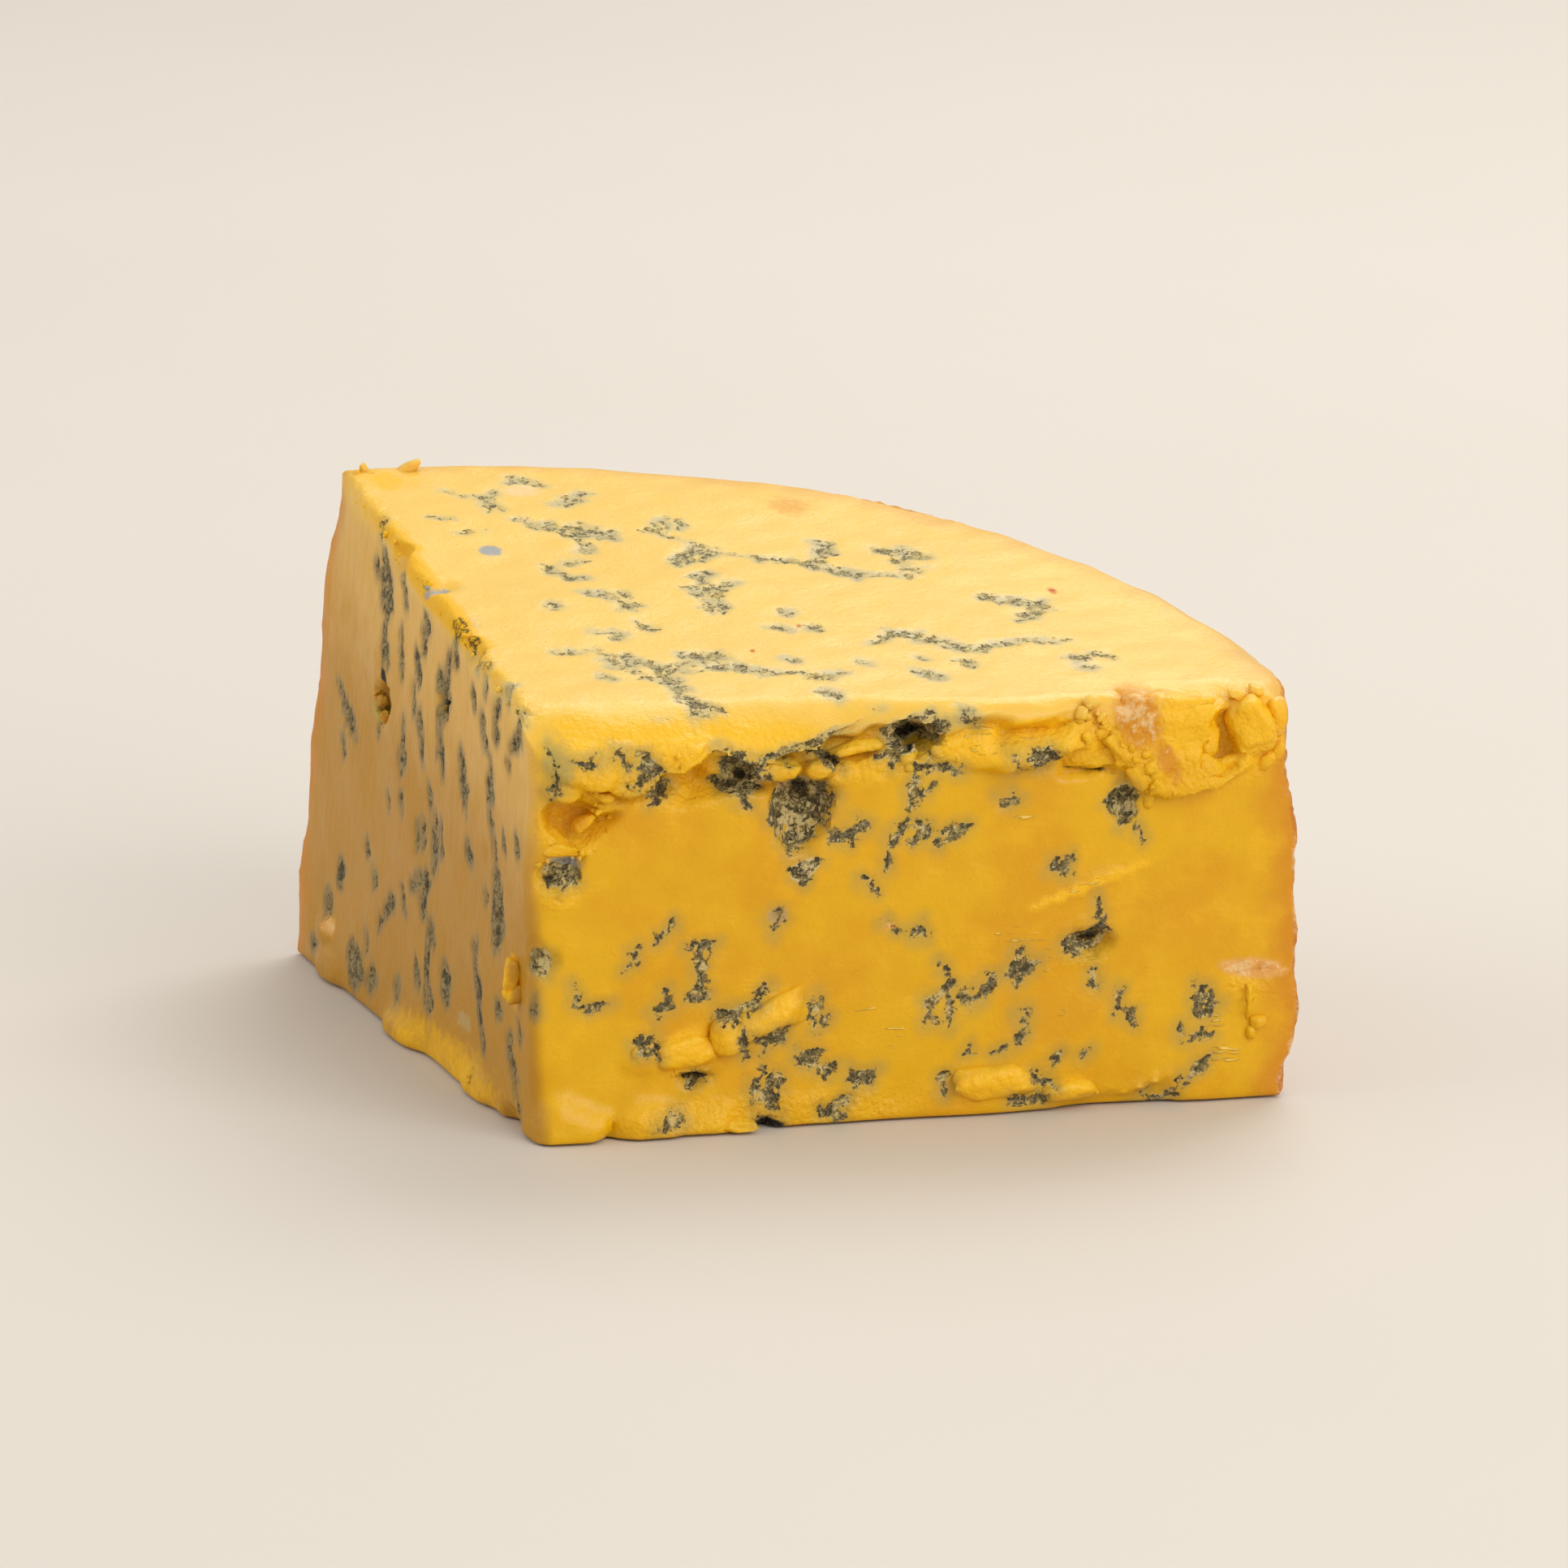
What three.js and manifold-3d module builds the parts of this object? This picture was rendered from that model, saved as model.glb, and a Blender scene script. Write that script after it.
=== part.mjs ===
// A wedge cut from a drum of blue cheese, lying on its flat underside.
// Millimetres, +Z up. The shape is worked out in a frame with the point of the
// wedge at its origin, the foot of the front cut along +X and the left cut
// running back from the point; ORIGIN then moves it to the middle of its base.
import * as THREE from "three";
import Module from "manifold-3d";
import { mergeVertices } from "three/addons/utils/BufferGeometryUtils.js";

const RADIUS = 100; // of the drum, and so the length of both cuts
const FOOT_ANGLE = 98.9; // between the two cuts at the underside, degrees
const TOP_ANGLE = 94.5; // and at the top: the left cut leans in
const POINT_HEIGHT = 55.4; // of the top face over the point
const TOP_RISE_X = -0.013; // slope of the top face along the front cut
const TOP_RISE_Y = 0.131; // and towards the back, where the drum stands taller
const RIND_BULGE = 1.0; // of the rind, half way up
const ORIGIN = [43.5, 48.8, 0]; // middle of the base, from the point

const ROUND = {
  point: 2.4, // upright edge at the point
  corner: 1.1, // upright edges where the cuts meet the rind
  rim: 3, // top and rind
  wornRim: 5.2, // top and rind next to the front cut
  roll: 4.2, // top and front cut, along the soft roll near the point
  cut: 1.2, // top and cuts elsewhere
  foot: 1.1, // underside and walls
  heel: 1.8, // underside and rind
};
const FEET_INSET = 5; // of the four points that the underside's rim rests on
const RIM_LIFT = 0.3; // of the rest of that rim, outside the flat middle
const ROLL_END = 42; // the soft roll runs this far along the front cut
const WORN_END = 7; // the worn rim runs this far back from it

const GRID = { along: 41, back: 20, up: 24 };

// Hollows and swellings of each face: where the middle is, half sizes, turn in
// degrees, how far out it stands (a hollow is negative) and how flat it is in
// its middle, 0 for a soft mound and 1 for a cliff.
// Front cut: along from the point, height.
const FRONT_RELIEF = [
  { name: "roll", at: [13, 51.2], size: [12, 5], out: 1.7, flat: 0.3 },
  { name: "lip", at: [33, 51.2], size: [11, 3.6], out: 1.3, flat: 0.3 },
  { name: "undercut", at: [18, 46.6], size: [9, 2.6], turn: -6, out: -2.8, flat: 0.5 },
  { name: "ledge", at: [42, 46], size: [24, 4.8], turn: 2, out: -2.2, flat: 0.7 },
  { name: "nose hollow", at: [5.6, 42.2], size: [4.6, 3.4], out: -2.8, flat: 0.4 },
  { name: "mould pit", at: [35.1, 42], size: [4.8, 6.4], out: -3.6, flat: 0.45 },
  { name: "deep cavity", at: [50, 50.2], size: [5.6, 2.8], turn: 6, out: -5.5, flat: 0.5 },
  { name: "block", at: [43.4, 44], size: [5, 4], out: 1.8, flat: 0.7 },
  { name: "nose", at: [6.4, 48.8], size: [5.6, 4.6], out: 1.1, flat: 0.5 },
  { name: "bevel", at: [66, 49.6], size: [10, 3.4], turn: 4, out: 2.1, flat: 0.4 },
  { name: "torn swell", at: [85.6, 48], size: [9.8, 7], turn: -5, out: 2.2, flat: 0.7 },
  { name: "torn lip", at: [84.4, 44.6], size: [7.6, 3.6], turn: -8, out: 1.5, flat: 0.5 },
  { name: "torn hollow", at: [90.2, 49.8], size: [3.4, 6.2], turn: -6, out: -4.4, flat: 0.4 },
  { name: "shoulder", at: [98.4, 52], size: [3.6, 6], out: -1.3, flat: 0.2 },
  { name: "scaly pit", at: [77.4, 41.2], size: [3, 3.4], out: -1.6, flat: 0.4 },
  { name: "point pit", at: [4, 35.3], size: [3.6, 2.6], out: -1.5, flat: 0.4 },
  { name: "side pit", at: [1, 23.8], size: [2.4, 3.2], out: -1.2, flat: 0.4 },
  { name: "ragged cavity", at: [73.6, 22.4], size: [4.2, 2], out: -2, flat: 0.4 },
  { name: "crease", at: [72, 31.4], size: [13, 2.2], turn: 19, out: 0.8, flat: 0.1 },
  { name: "upper flake", at: [29.6, 14.4], size: [7.6, 3], turn: 23, out: 1.7, flat: 0.6 },
  { name: "lower flake", at: [20.2, 10.9], size: [5.2, 3.2], turn: 3, out: 1.7, flat: 0.6 },
  { name: "flake tail", at: [14, 9.8], size: [3.4, 3], out: 1.2, flat: 0.3 },
  { name: "foot smear", at: [60.2, 4.3], size: [6.6, 2.5], turn: 20, out: 1.4, flat: 0.4 },
  { name: "flared foot", at: [13, 0.5], size: [13, 5], out: 2.8, flat: 0.3 },
  { name: "foot notch", at: [30.8, 0.6], size: [2.6, 1.9], out: -2, flat: 0.2 },
  { name: "drawn foot", at: [78, 0], size: [11, 3.4], out: -1.3, flat: 0.2 },
];
// Left cut: along from the point, height.
const LEFT_RELIEF = [
  { name: "olive hole", at: [69.8, 42], size: [3.8, 3.8], out: -2.5, flat: 0.4 },
  { name: "back chip", at: [66, 62.4], size: [4, 2.4], out: -1.4, flat: 0.3 },
  { name: "middle chip", at: [29, 58.2], size: [3.6, 2.2], out: -1.2, flat: 0.3 },
  { name: "foot notch", at: [8.5, 0.4], size: [4.5, 3], out: -1.6, flat: 0.3 },
  { name: "near foot swell", at: [22, 1.4], size: [7, 3], out: 1.1, flat: 0.2 },
  { name: "middle foot swell", at: [52, 1.2], size: [9, 3], out: 1.3, flat: 0.2 },
  { name: "back foot swell", at: [84, 2], size: [7, 3.4], out: 1.1, flat: 0.2 },
  { name: "heel nub", at: [88, 6.4], size: [3.4, 2.6], out: 0.9, flat: 0.2 },
];
// Top: along the front cut, back from it.
const TOP_RELIEF = [
  { name: "left needle hole", at: [-2.2, 50.6], size: [3, 2.6], out: -1.1, flat: 0.3 },
  { name: "roll sag", at: [33, 0], size: [14, 6], out: -0.8, flat: 0.2 },
  { name: "torn dip", at: [86, 1], size: [12, 5.5], out: -1.1, flat: 0.3 },
];
// Rind: along the arc from the front cut, height.
const RIND_RELIEF = [
  { name: "front pinch", at: [0, 46], size: [8, 17], out: -1.1, flat: 0.1 },
  { name: "high shoulder", at: [26, 53], size: [16, 10], out: 0.9, flat: 0.1 },
  { name: "front foot", at: [2, 9], size: [9, 8], out: 1.0, flat: 0.2 },
  { name: "slump", at: [44, 12], size: [30, 11], out: 0.9, flat: 0.1 },
  { name: "cloth dent", at: [92, 38], size: [17, 12], out: -1.2, flat: 0.1 },
  { name: "shelf mark", at: [138, 25], size: [22, 9], turn: 8, out: -0.9, flat: 0.1 },
];

// Crumbs and torn lumps grown together with the wedge: middle, half sizes,
// turn about the Y axis in degrees, and detail of the sphere they start as.
const LUMPS = [
  { name: "torn crumb", at: [73.2, 0.6, 53], size: [1.9, 2.6, 1.8], detail: 1 },
  { name: "torn bead", at: [77.2, 0, 48.7], size: [2.4, 3.6, 3.3], turn: -15, detail: 1 },
  { name: "torn crust", at: [79.4, 0.4, 51.2], size: [2.6, 3.4, 4], turn: -20, detail: 2 },
  { name: "torn pebble", at: [94, 0.8, 50.2], size: [2.8, 3.6, 4.5], turn: 8, detail: 2 },
  { name: "torn chip", at: [91.8, 1.6, 54.2], size: [2, 2.4, 1.5], turn: 20, detail: 1 },
  { name: "lip flap", at: [29.6, 0.2, 49.5], size: [4.2, 3, 1.9], turn: -8, detail: 2 },
  { name: "lip flake", at: [42.6, 0.9, 49.2], size: [4.2, 3.2, 1.7], turn: 6, detail: 1 },
  { name: "knob", at: [36.4, 1.2, 47.9], size: [2.4, 2.8, 1.8], detail: 1 },
  { name: "corner crumb", at: [-5, 96.4, 67.9], size: [1.3, 1.6, 1.4], detail: 1 },
  { name: "rim flake", at: [0.8, 96.8, 67.8], size: [2.2, 1.5, 1.3], turn: 35, detail: 1 },
  { name: "edge crumb", at: [-0.9, 7.2, 20.2], size: [1.6, 1.8, 3.2], turn: 25, detail: 1 },
  { name: "rind crumb", at: [95.4, 0, 11.6], size: [1.3, 1.4, 1.2], detail: 1 },
];

const { atan2, cos, exp, hypot, max, min, PI, sin } = Math;
const radians = (degrees) => (degrees * PI) / 180;
const mix = (a, b, k) => a + (b - a) * k;
const topHeight = (x, y) => POINT_HEIGHT + TOP_RISE_X * x + TOP_RISE_Y * y;

function fade(from, to, value) {
  const k = min(max((value - from) / (to - from), 0), 1);
  return 1 - k * k * (3 - 2 * k);
}

// Smooth, irregular and repeatable: a sum of sine waves about `size` long that
// run in directions spread by the golden angle. Mostly between -1 and 1.
function waves(x, y, z, size) {
  let sum = 0;
  for (let i = 1; i <= 7; i++) {
    const turn = 2.4 * i;
    const lift = 0.5 * sin(1.7 * i);
    const along = x * cos(turn) * cos(lift) + y * sin(turn) * cos(lift) + z * sin(1.9 * i);
    sum += sin(((2 * PI) / size) * (0.7 + 0.6 * ((0.618 * i) % 1)) * along + 4.1 * i);
  }
  return sum / 3;
}

// Grid lines 0..1, closer together where `density` is larger.
function spread(count, density) {
  const steps = 2000;
  const sums = [0];
  for (let i = 0; i < steps; i++) sums.push(sums[i] + density((i + 0.5) / steps));
  const lines = [];
  let at = 0;
  for (let i = 0; i <= count; i++) {
    const goal = (sums[steps] * i) / count;
    while (at < steps && sums[at + 1] < goal) at++;
    const part = at < steps ? (goal - sums[at]) / (sums[at + 1] - sums[at]) : 0;
    lines.push(min((at + part) / steps, 1));
  }
  return lines;
}

const ALONG = spread(GRID.along, (u) => 1 + 3 * exp(-u / 0.02) + 3 * exp((u - 1) / 0.02));
const BACK = spread(GRID.back, (u) => 1 + 7 * exp(-u / 0.04) + 4 * exp((u - 1) / 0.03));
const UP = spread(GRID.up, (u) => 1 + 3 * exp(-u / 0.02) + 2 * fade(0.12, 0.3, 1 - u));

// A point of the sector: along and back go 0..1 from the point of the wedge
// along the two cuts, and up goes 0..1 from the underside to the top.
function sector(along, back, up) {
  const turn = radians(mix(FOOT_ANGLE, TOP_ANGLE, up));
  const half = radians(FOOT_ANGLE / 2);
  const arc = (angle) => [RADIUS * cos(angle), RADIUS * sin(angle)];
  const [corner, middle, far] = [arc(0), arc(half), arc(turn)];
  const rindRight = arc(back * half);
  const rindBack = arc(mix(turn, half, along));
  return [0, 1].map((i) => {
    const cuts = (1 - back) * along * corner[i] + (1 - along) * back * far[i];
    const rinds = along * rindRight[i] + back * rindBack[i];
    const corners = along * (1 - back) * corner[i] + along * back * middle[i];
    return cuts + rinds - corners - (1 - along) * back * far[i];
  });
}

// The four points near the corners of the underside that touch what the wedge
// lies on, in order round it.
const nearest = (lines, goal) =>
  lines.reduce((best, line) => (Math.abs(line - goal) < Math.abs(best - goal) ? line : best));
const FEET = [[0, 0], [1, 0], [1, 1], [0, 1]].map(([right, rear]) => {
  const inset = FEET_INSET / RADIUS;
  const place = [nearest(ALONG, right ? 1 - inset : inset), nearest(BACK, rear ? 1 - inset : inset)];
  return sector(...place, 0);
});

// How far the underside stands clear: not at all in its flat middle, a
// millimetre or more inside the lines between the feet, nor at the feet.
function rimLift(x, y) {
  const inside = FEET.map(([ax, ay], i) => {
    const [bx, by] = FEET[(i + 1) % FEET.length];
    return ((bx - ax) * (y - ay) - (by - ay) * (x - ax)) / hypot(bx - ax, by - ay);
  });
  const atFoot = FEET.some(([ax, ay]) => hypot(x - ax, y - ay) < 0.01);
  return atFoot || min(...inside) > 1 ? 0 : RIM_LIFT;
}

// Distances from two faces that meet in an edge, moved onto a round edge.
function soften(a, b, radius) {
  if (a >= radius || b >= radius) return [a, b];
  const scale = radius / hypot(radius - a, radius - b);
  return [radius - (radius - a) * scale, radius - (radius - b) * scale];
}

// The wedge with plain faces and round edges.
function plainPoint(along, back, up) {
  let fromLeft = along * RADIUS;
  let fromFront = back * RADIUS;
  let fromRight = RADIUS - fromLeft;
  let fromBack = RADIUS - fromFront;
  [fromLeft, fromFront] = soften(fromLeft, fromFront, ROUND.point);
  if (fromRight < RADIUS / 2) {
    [fromRight, fromFront] = soften(fromRight, fromFront, ROUND.corner);
    fromLeft = RADIUS - fromRight;
  }
  if (fromBack < RADIUS / 2) {
    [fromBack, fromLeft] = soften(fromBack, fromLeft, ROUND.corner);
    fromFront = RADIUS - fromBack;
  }
  const high = topHeight(...sector(fromLeft / RADIUS, fromFront / RADIUS, up));
  let drop = high * (1 - up);
  let rise = high * up;
  const roll = mix(ROUND.cut, ROUND.roll, fade(ROLL_END - 6, ROLL_END + 3, fromLeft));
  const rim = mix(ROUND.rim, ROUND.wornRim, fade(0, WORN_END, fromFront));
  const upper = (distance, radius) => {
    const pair = soften(distance, drop, radius);
    drop = pair[1];
    return pair[0];
  };
  const lower = (distance, radius) => {
    const pair = soften(distance, rise, radius);
    rise = pair[1];
    return pair[0];
  };
  fromFront = lower(upper(fromFront, roll), ROUND.foot);
  fromLeft = lower(upper(fromLeft, ROUND.cut), ROUND.foot);
  const right = lower(upper(RADIUS - fromLeft, rim), ROUND.heel);
  const rear = lower(upper(RADIUS - fromFront, rim), ROUND.heel);
  const plan = sector((RADIUS - right) / RADIUS, (RADIUS - rear) / RADIUS, up);
  return [...plan, up > 0.5 ? high - drop : max(rise, rimLift(...plan))];
}

// How far the relief of one face stands out at a place on it.
function relief(list, u, v) {
  let out = 0;
  for (const { at, size, turn = 0, out: height, flat } of list) {
    const [c, s] = [cos(radians(turn)), sin(radians(turn))];
    const [du, dv] = [u - at[0], v - at[1]];
    const far = hypot((du * c + dv * s) / size[0], (dv * c - du * s) / size[1]);
    out += height * fade(flat, 1, far);
  }
  return out;
}

// The wedge with the relief of its four faces. A face's relief moves only what
// lies near the face, and the underside stays flat.
function crumblyPoint([x, y, z]) {
  const reach = hypot(x, y);
  const angle = atan2(y, x);
  const turn = radians(mix(FOOT_ANGLE, TOP_ANGLE, z / topHeight(x, y)));
  const along = x * cos(turn) + y * sin(turn);
  const inLeft = x * sin(turn) - y * cos(turn);
  const inTop = topHeight(x, y) - z;
  const front = fade(1, 8, y) * (relief(FRONT_RELIEF, x, z) + 0.2 * waves(x, 0, z, 17));
  const left = fade(1, 8, inLeft) * (relief(LEFT_RELIEF, along, z) + 0.3 * waves(0, y, z, 21));
  const top = fade(1, 9, inTop) * (relief(TOP_RELIEF, x, y) + 0.15 * waves(x, y, 0, 30));
  const belly = RIND_BULGE * sin(PI * min(max(z / 62, 0), 1));
  const lumpy = 0.55 * waves(x, y, z, 34) + 0.4 * waves(x, y, z, 13);
  const rind = relief(RIND_RELIEF, RADIUS * angle, z) + belly + lumpy;
  const swell = fade(1, 14, RADIUS - reach) * rind;
  return [
    x - left * sin(turn) + swell * cos(angle),
    y + left * cos(turn) + swell * sin(angle) - front,
    z + top,
  ];
}

function toOrigin([x, y, z]) {
  return new THREE.Vector3(x - ORIGIN[0], y - ORIGIN[1], z - ORIGIN[2]);
}

// Every point of a closed geometry moved by `move`.
function reshape(geometry, move) {
  geometry.deleteAttribute("normal");
  geometry.deleteAttribute("uv");
  const shape = mergeVertices(geometry);
  const places = shape.getAttribute("position");
  for (let i = 0; i < places.count; i++) {
    const { x, y, z } = move(new THREE.Vector3().fromBufferAttribute(places, i));
    places.setXYZ(i, x, y, z);
  }
  return shape;
}

function wedgeGeometry() {
  const box = new THREE.BoxGeometry(1, 1, 1, GRID.along, GRID.back, GRID.up);
  const line = (lines, k) => lines[Math.round((k + 0.5) * (lines.length - 1))];
  return reshape(box, ({ x, y, z }) =>
    toOrigin(crumblyPoint(plainPoint(line(ALONG, x), line(BACK, y), line(UP, z))))
  );
}

function lumpGeometry({ at, size, turn = 0, detail }) {
  const axis = new THREE.Vector3(0, 1, 0);
  return reshape(new THREE.IcosahedronGeometry(1, detail), (p) => {
    const swell = 1 + 0.2 * waves(3 * p.x + at[0], 3 * p.y, 3 * p.z + at[2], 5);
    p.multiplyScalar(swell).multiply(new THREE.Vector3(...size));
    p.applyAxisAngle(axis, radians(-turn));
    return p.add(toOrigin(at));
  });
}

const manifold = await Module();
manifold.setup();

function toSolid(geometry) {
  const vertProperties = new Float32Array(geometry.getAttribute("position").array);
  const triVerts = new Uint32Array(geometry.index.array);
  return new manifold.Manifold(new manifold.Mesh({ numProp: 3, vertProperties, triVerts }));
}

function toGeometry(solid) {
  const { vertProperties, triVerts } = solid.getMesh();
  const geometry = new THREE.BufferGeometry();
  geometry.setAttribute("position", new THREE.BufferAttribute(vertProperties, 3));
  geometry.setIndex(new THREE.BufferAttribute(triVerts, 1));
  geometry.computeVertexNormals();
  return geometry;
}

const solid = LUMPS.reduce(
  (body, lump) => body.add(toSolid(lumpGeometry(lump))),
  toSolid(wedgeGeometry())
);

const paste = new THREE.MeshStandardMaterial({ color: 0xe9b94c, roughness: 0.5, metalness: 0 });
const wedge = new THREE.Mesh(toGeometry(solid), paste);
wedge.name = "cheese_wedge";

const model = new THREE.Group();
model.add(wedge);

export default model;
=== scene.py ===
"""A wedge of orange-yellow blue cheese: its broken faces, mould, rind and looks."""

import itertools
import math
from types import SimpleNamespace

import bpy
import numpy as np
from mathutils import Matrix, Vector


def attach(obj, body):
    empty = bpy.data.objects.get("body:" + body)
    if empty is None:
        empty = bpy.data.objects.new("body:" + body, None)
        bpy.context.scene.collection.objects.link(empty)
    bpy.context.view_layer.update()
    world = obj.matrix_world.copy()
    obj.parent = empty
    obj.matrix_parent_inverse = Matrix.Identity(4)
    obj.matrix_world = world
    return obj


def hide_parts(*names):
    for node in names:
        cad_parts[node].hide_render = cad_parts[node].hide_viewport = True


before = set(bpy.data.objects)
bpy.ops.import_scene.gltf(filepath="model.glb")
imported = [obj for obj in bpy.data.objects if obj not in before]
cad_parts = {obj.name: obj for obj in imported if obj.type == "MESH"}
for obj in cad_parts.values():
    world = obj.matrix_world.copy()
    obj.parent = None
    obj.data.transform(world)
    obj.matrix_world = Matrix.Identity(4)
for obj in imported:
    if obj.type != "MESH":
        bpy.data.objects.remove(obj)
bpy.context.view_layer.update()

NODE = "cheese_wedge"
MM = 0.001
SEED = 23

# Sizes, in millimetres, in the frame of the wedge's point: +X along the foot
# of the front cut, +Y back from it, +Z up. ORIGIN is the middle of the base.
RADIUS = 100
FOOT_ANGLE = 98.9
TOP_ANGLE = 94.5
POINT_HEIGHT = 55.4
TOP_RISE_X = -0.013
TOP_RISE_Y = 0.131
RIND_BULGE = 1.0
RIND_HEIGHT = 62
ORIGIN = np.array([43.5, 48.8, 0.0])

ROUND = {
    "point": 2.4,
    "corner": 1.1,
    "rim": 3.0,
    "worn_rim": 5.2,
    "roll": 6.4,
    "bevel": 3.2,
    "cut": 1.2,
    "foot": 1.1,
    "heel": 1.8,
}
FEET_INSET = 5
RIM_LIFT = 0.3
RIM_WIDTH = 1.5
ROLL_END = (40, 52)
BEVEL_END = (72, 81)
WORN_END = 7
GRID = {"along": 160, "back": 112, "up": 82}

# Hollows and swellings of each face, as ovals on it: middle, half sizes, turn in
# degrees, how far out, how flat in the middle (1 for a cliff), how far it droops.
# Front cut: along from the point, height. The layer over the lip ...
LIP_RELIEF = [
    (13, 51.2, 13, 6.4, 0, 2, 0.5, 0.5),  # roll
    (33, 52, 12, 4.4, 0, 1.7, 0.6, 0.5),  # lip
    (6.4, 48.8, 6.4, 5.4, 0, 1.1, 0.6, 0.4),  # nose
]
# ... what it shades below its torn edge ...
SHADE_RELIEF = [
    (18, 46.8, 9.6, 3.6, -6, -2.4, 0.5, 0),  # undercut
    (29, 47.6, 11.5, 3.8, 3, -2.2, 0.6, 0),  # ledge
    (43.4, 50.6, 8.4, 2.4, 5, -2.6, 0.6, 0),  # shelf over the block
    (5.6, 42.2, 4.8, 3.6, 0, -2.8, 0.5, 0),  # nose hollow
    (50.4, 50.2, 4.2, 1.7, 16, -4.6, 0.5, 0),  # deep cavity
]
# ... the torn layer at the rind, which ends in an edge of its own ...
TORN_RELIEF = [
    (85.6, 48.6, 10.4, 8, -5, 1.6, 0.8, 0),  # torn swell
    (84.4, 44.2, 8.4, 4.4, -8, 0.6, 0.6, 0.3),  # torn lip
]
# ... and the rest of the cut.
FRONT_RELIEF = [
    (35.1, 42, 4.8, 6.4, 0, -3.4, 0.55, 0),  # mould pit
    (50.6, 50.6, 3.6, 1.4, 16, -2, 0.5, 0),  # floor of the deep cavity
    (65, 48.2, 10.5, 2.7, 3, 2.5, 0.4, 0.3),  # lower bevel
    (62, 51.2, 11, 1.3, 3, -1.5, 0.2, 0),  # groove over it
    (63, 54, 11, 2, 2, 1.2, 0.3, 0),  # upper bevel
    (90.2, 49.8, 3.4, 6.2, -6, -3.6, 0.5, 0),  # torn hollow
    (98.4, 52, 3.6, 6, 0, -0.6, 0.2, 0),  # shoulder
    (77.4, 41.2, 3, 3.4, 0, -1.6, 0.5, 0),  # scaly pit
    (4, 35.3, 3.6, 2.6, 0, -1.7, 0.6, 0),  # point pit
    (1, 23.8, 2.4, 3.2, 0, -1.2, 0.5, 0),  # side pit
    (73.6, 22.4, 4.2, 2, 0, -2.2, 0.6, 0),  # ragged cavity
    (73.4, 30.3, 11.6, 1.5, 18.5, 0.5, 0, 0),  # crease
    (14, 9.8, 3.4, 3, 0, 0.7, 0.4, 0),  # flake tail
    (80, 2.5, 6.6, 0.9, 8, 0.8, 0.2, 0),  # strand drawn along the foot
    (4.4, 1, 6.4, 6, 10, 2.2, 0.3, 0),  # lobes of the flared foot
    (15.4, 0.8, 7, 5.4, -6, 2.4, 0.3, 0),
    (23.6, 0.6, 5, 3.6, 0, 1.7, 0.3, 0),
    (9.6, 1.2, 0.8, 3, -24, -0.9, 0.2, 0),  # fold between them
    (30.8, 0.6, 2.6, 1.9, 0, -2, 0.3, 0),  # foot notch
    (78, 0, 11, 3.4, 0, -1.3, 0.3, 0),  # drawn foot
    (72.6, 45.2, 5.6, 0.8, -9, -1.5, 0.3, 0),  # crack under the bevel
    (35.2, 43.8, 2, 1.9, 0, -1.6, 0.5, 0),  # hole in the mould pit
    (36.2, 38.4, 2.2, 1.4, 0, 0.7, 0.4, 0),  # shelf of the mould pit
    (94.6, 17.4, 5, 0.9, -4, -0.8, 0.4, 0),  # seam in from the rind
    (21, 7.3, 1.9, 1, -8, -1.8, 0.5, 0),  # slot under the flakes
    (48.4, 49.2, 2.2, 1, 30, 1.6, 0.4, 0),  # crumbs in the cavity
    (62.4, 48.3, 3, 1.6, 14, 0.6, 0.4, 0),  # ripple of the bevel
    (70.2, 50.4, 3.4, 1.5, 20, 0.6, 0.4, 0),  # and another
    (27.2, 46.6, 1.6, 1, -20, -1.2, 0.3, 0),  # star pit
    (24.2, 13, 0.9, 3, 20, -1, 0.3, 0),  # gap between the flakes
    (66.4, 48, 1.6, 1.5, 0, -1.2, 0.5, 0),  # small mouldy hole
    (71.6, 24.2, 3.2, 0.8, 12, 0.7, 0.3, 0),  # torn edge over the cavity
    (72.2, 20.7, 1.6, 1, 0, 0.9, 0.4, 0),  # torn flap under it
    (5.2, 37.8, 3.2, 0.9, -8, 0.9, 0.3, 0),  # brow of the point pit
    (4.2, 32.4, 3.4, 0.8, 0, 0.7, 0.3, 0),  # rim of the point pit
    (52.6, 46.7, 3.2, 0.5, -13, -0.8, 0.2, 0),  # slit beside the cavity
    (94.4, 13.6, 0.6, 3.4, 0, 0.7, 0.3, 0),  # crumb tail
]
# Lower edges of the two torn layers: along from the point, height.
LIP_EDGE = [
    (0, 44), (4, 45), (9, 46.6), (13, 45.6), (17, 47.8), (21, 49.8),
    (24, 51.4), (28.3, 49.4), (32, 50), (36, 52), (45, 54), (58, 58),
]
TORN_EDGE = [(73, 50), (76, 45.5), (79, 42.6), (83, 41), (88.5, 42.6), (92, 43.4), (100, 46)]
# The waves on those edges: how far, how long. And the height of their step.
EDGE_WAVE = (0.45, 5)
EDGE_STEP = 0.25
# Left cut: along from the point, height.
LEFT_RELIEF = [
    (69.8, 42, 3.8, 3.4, 0, -2.6, 0.4, 0),  # olive hole
    (41, 48, 2.8, 1.8, 20, -1.4, 0.4, 0),  # hole below the longest smear
    (15.1, 27.4, 1.6, 6.6, -6, -0.9, 0.2, 0),  # fissure
    (66, 62.4, 4, 2.4, 0, -1.4, 0.5, 0),  # back chip
    (29, 58.2, 3.6, 2.2, 0, -1.2, 0.5, 0),  # middle chip
    (8.5, 0.4, 4.5, 3, 0, -1.6, 0.4, 0),  # foot notch
    (22, 1.4, 7, 3, 0, 1.1, 0.4, 0),  # near foot swell
    (52, 1.2, 9, 3, 0, 1.3, 0.4, 0),  # middle foot swell
    (84, 2, 7, 3.4, 0, 1.1, 0.4, 0),  # back foot swell
    (88, 6.4, 3.4, 2.6, 0, 0.9, 0.4, 0),  # heel nub
]
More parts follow.
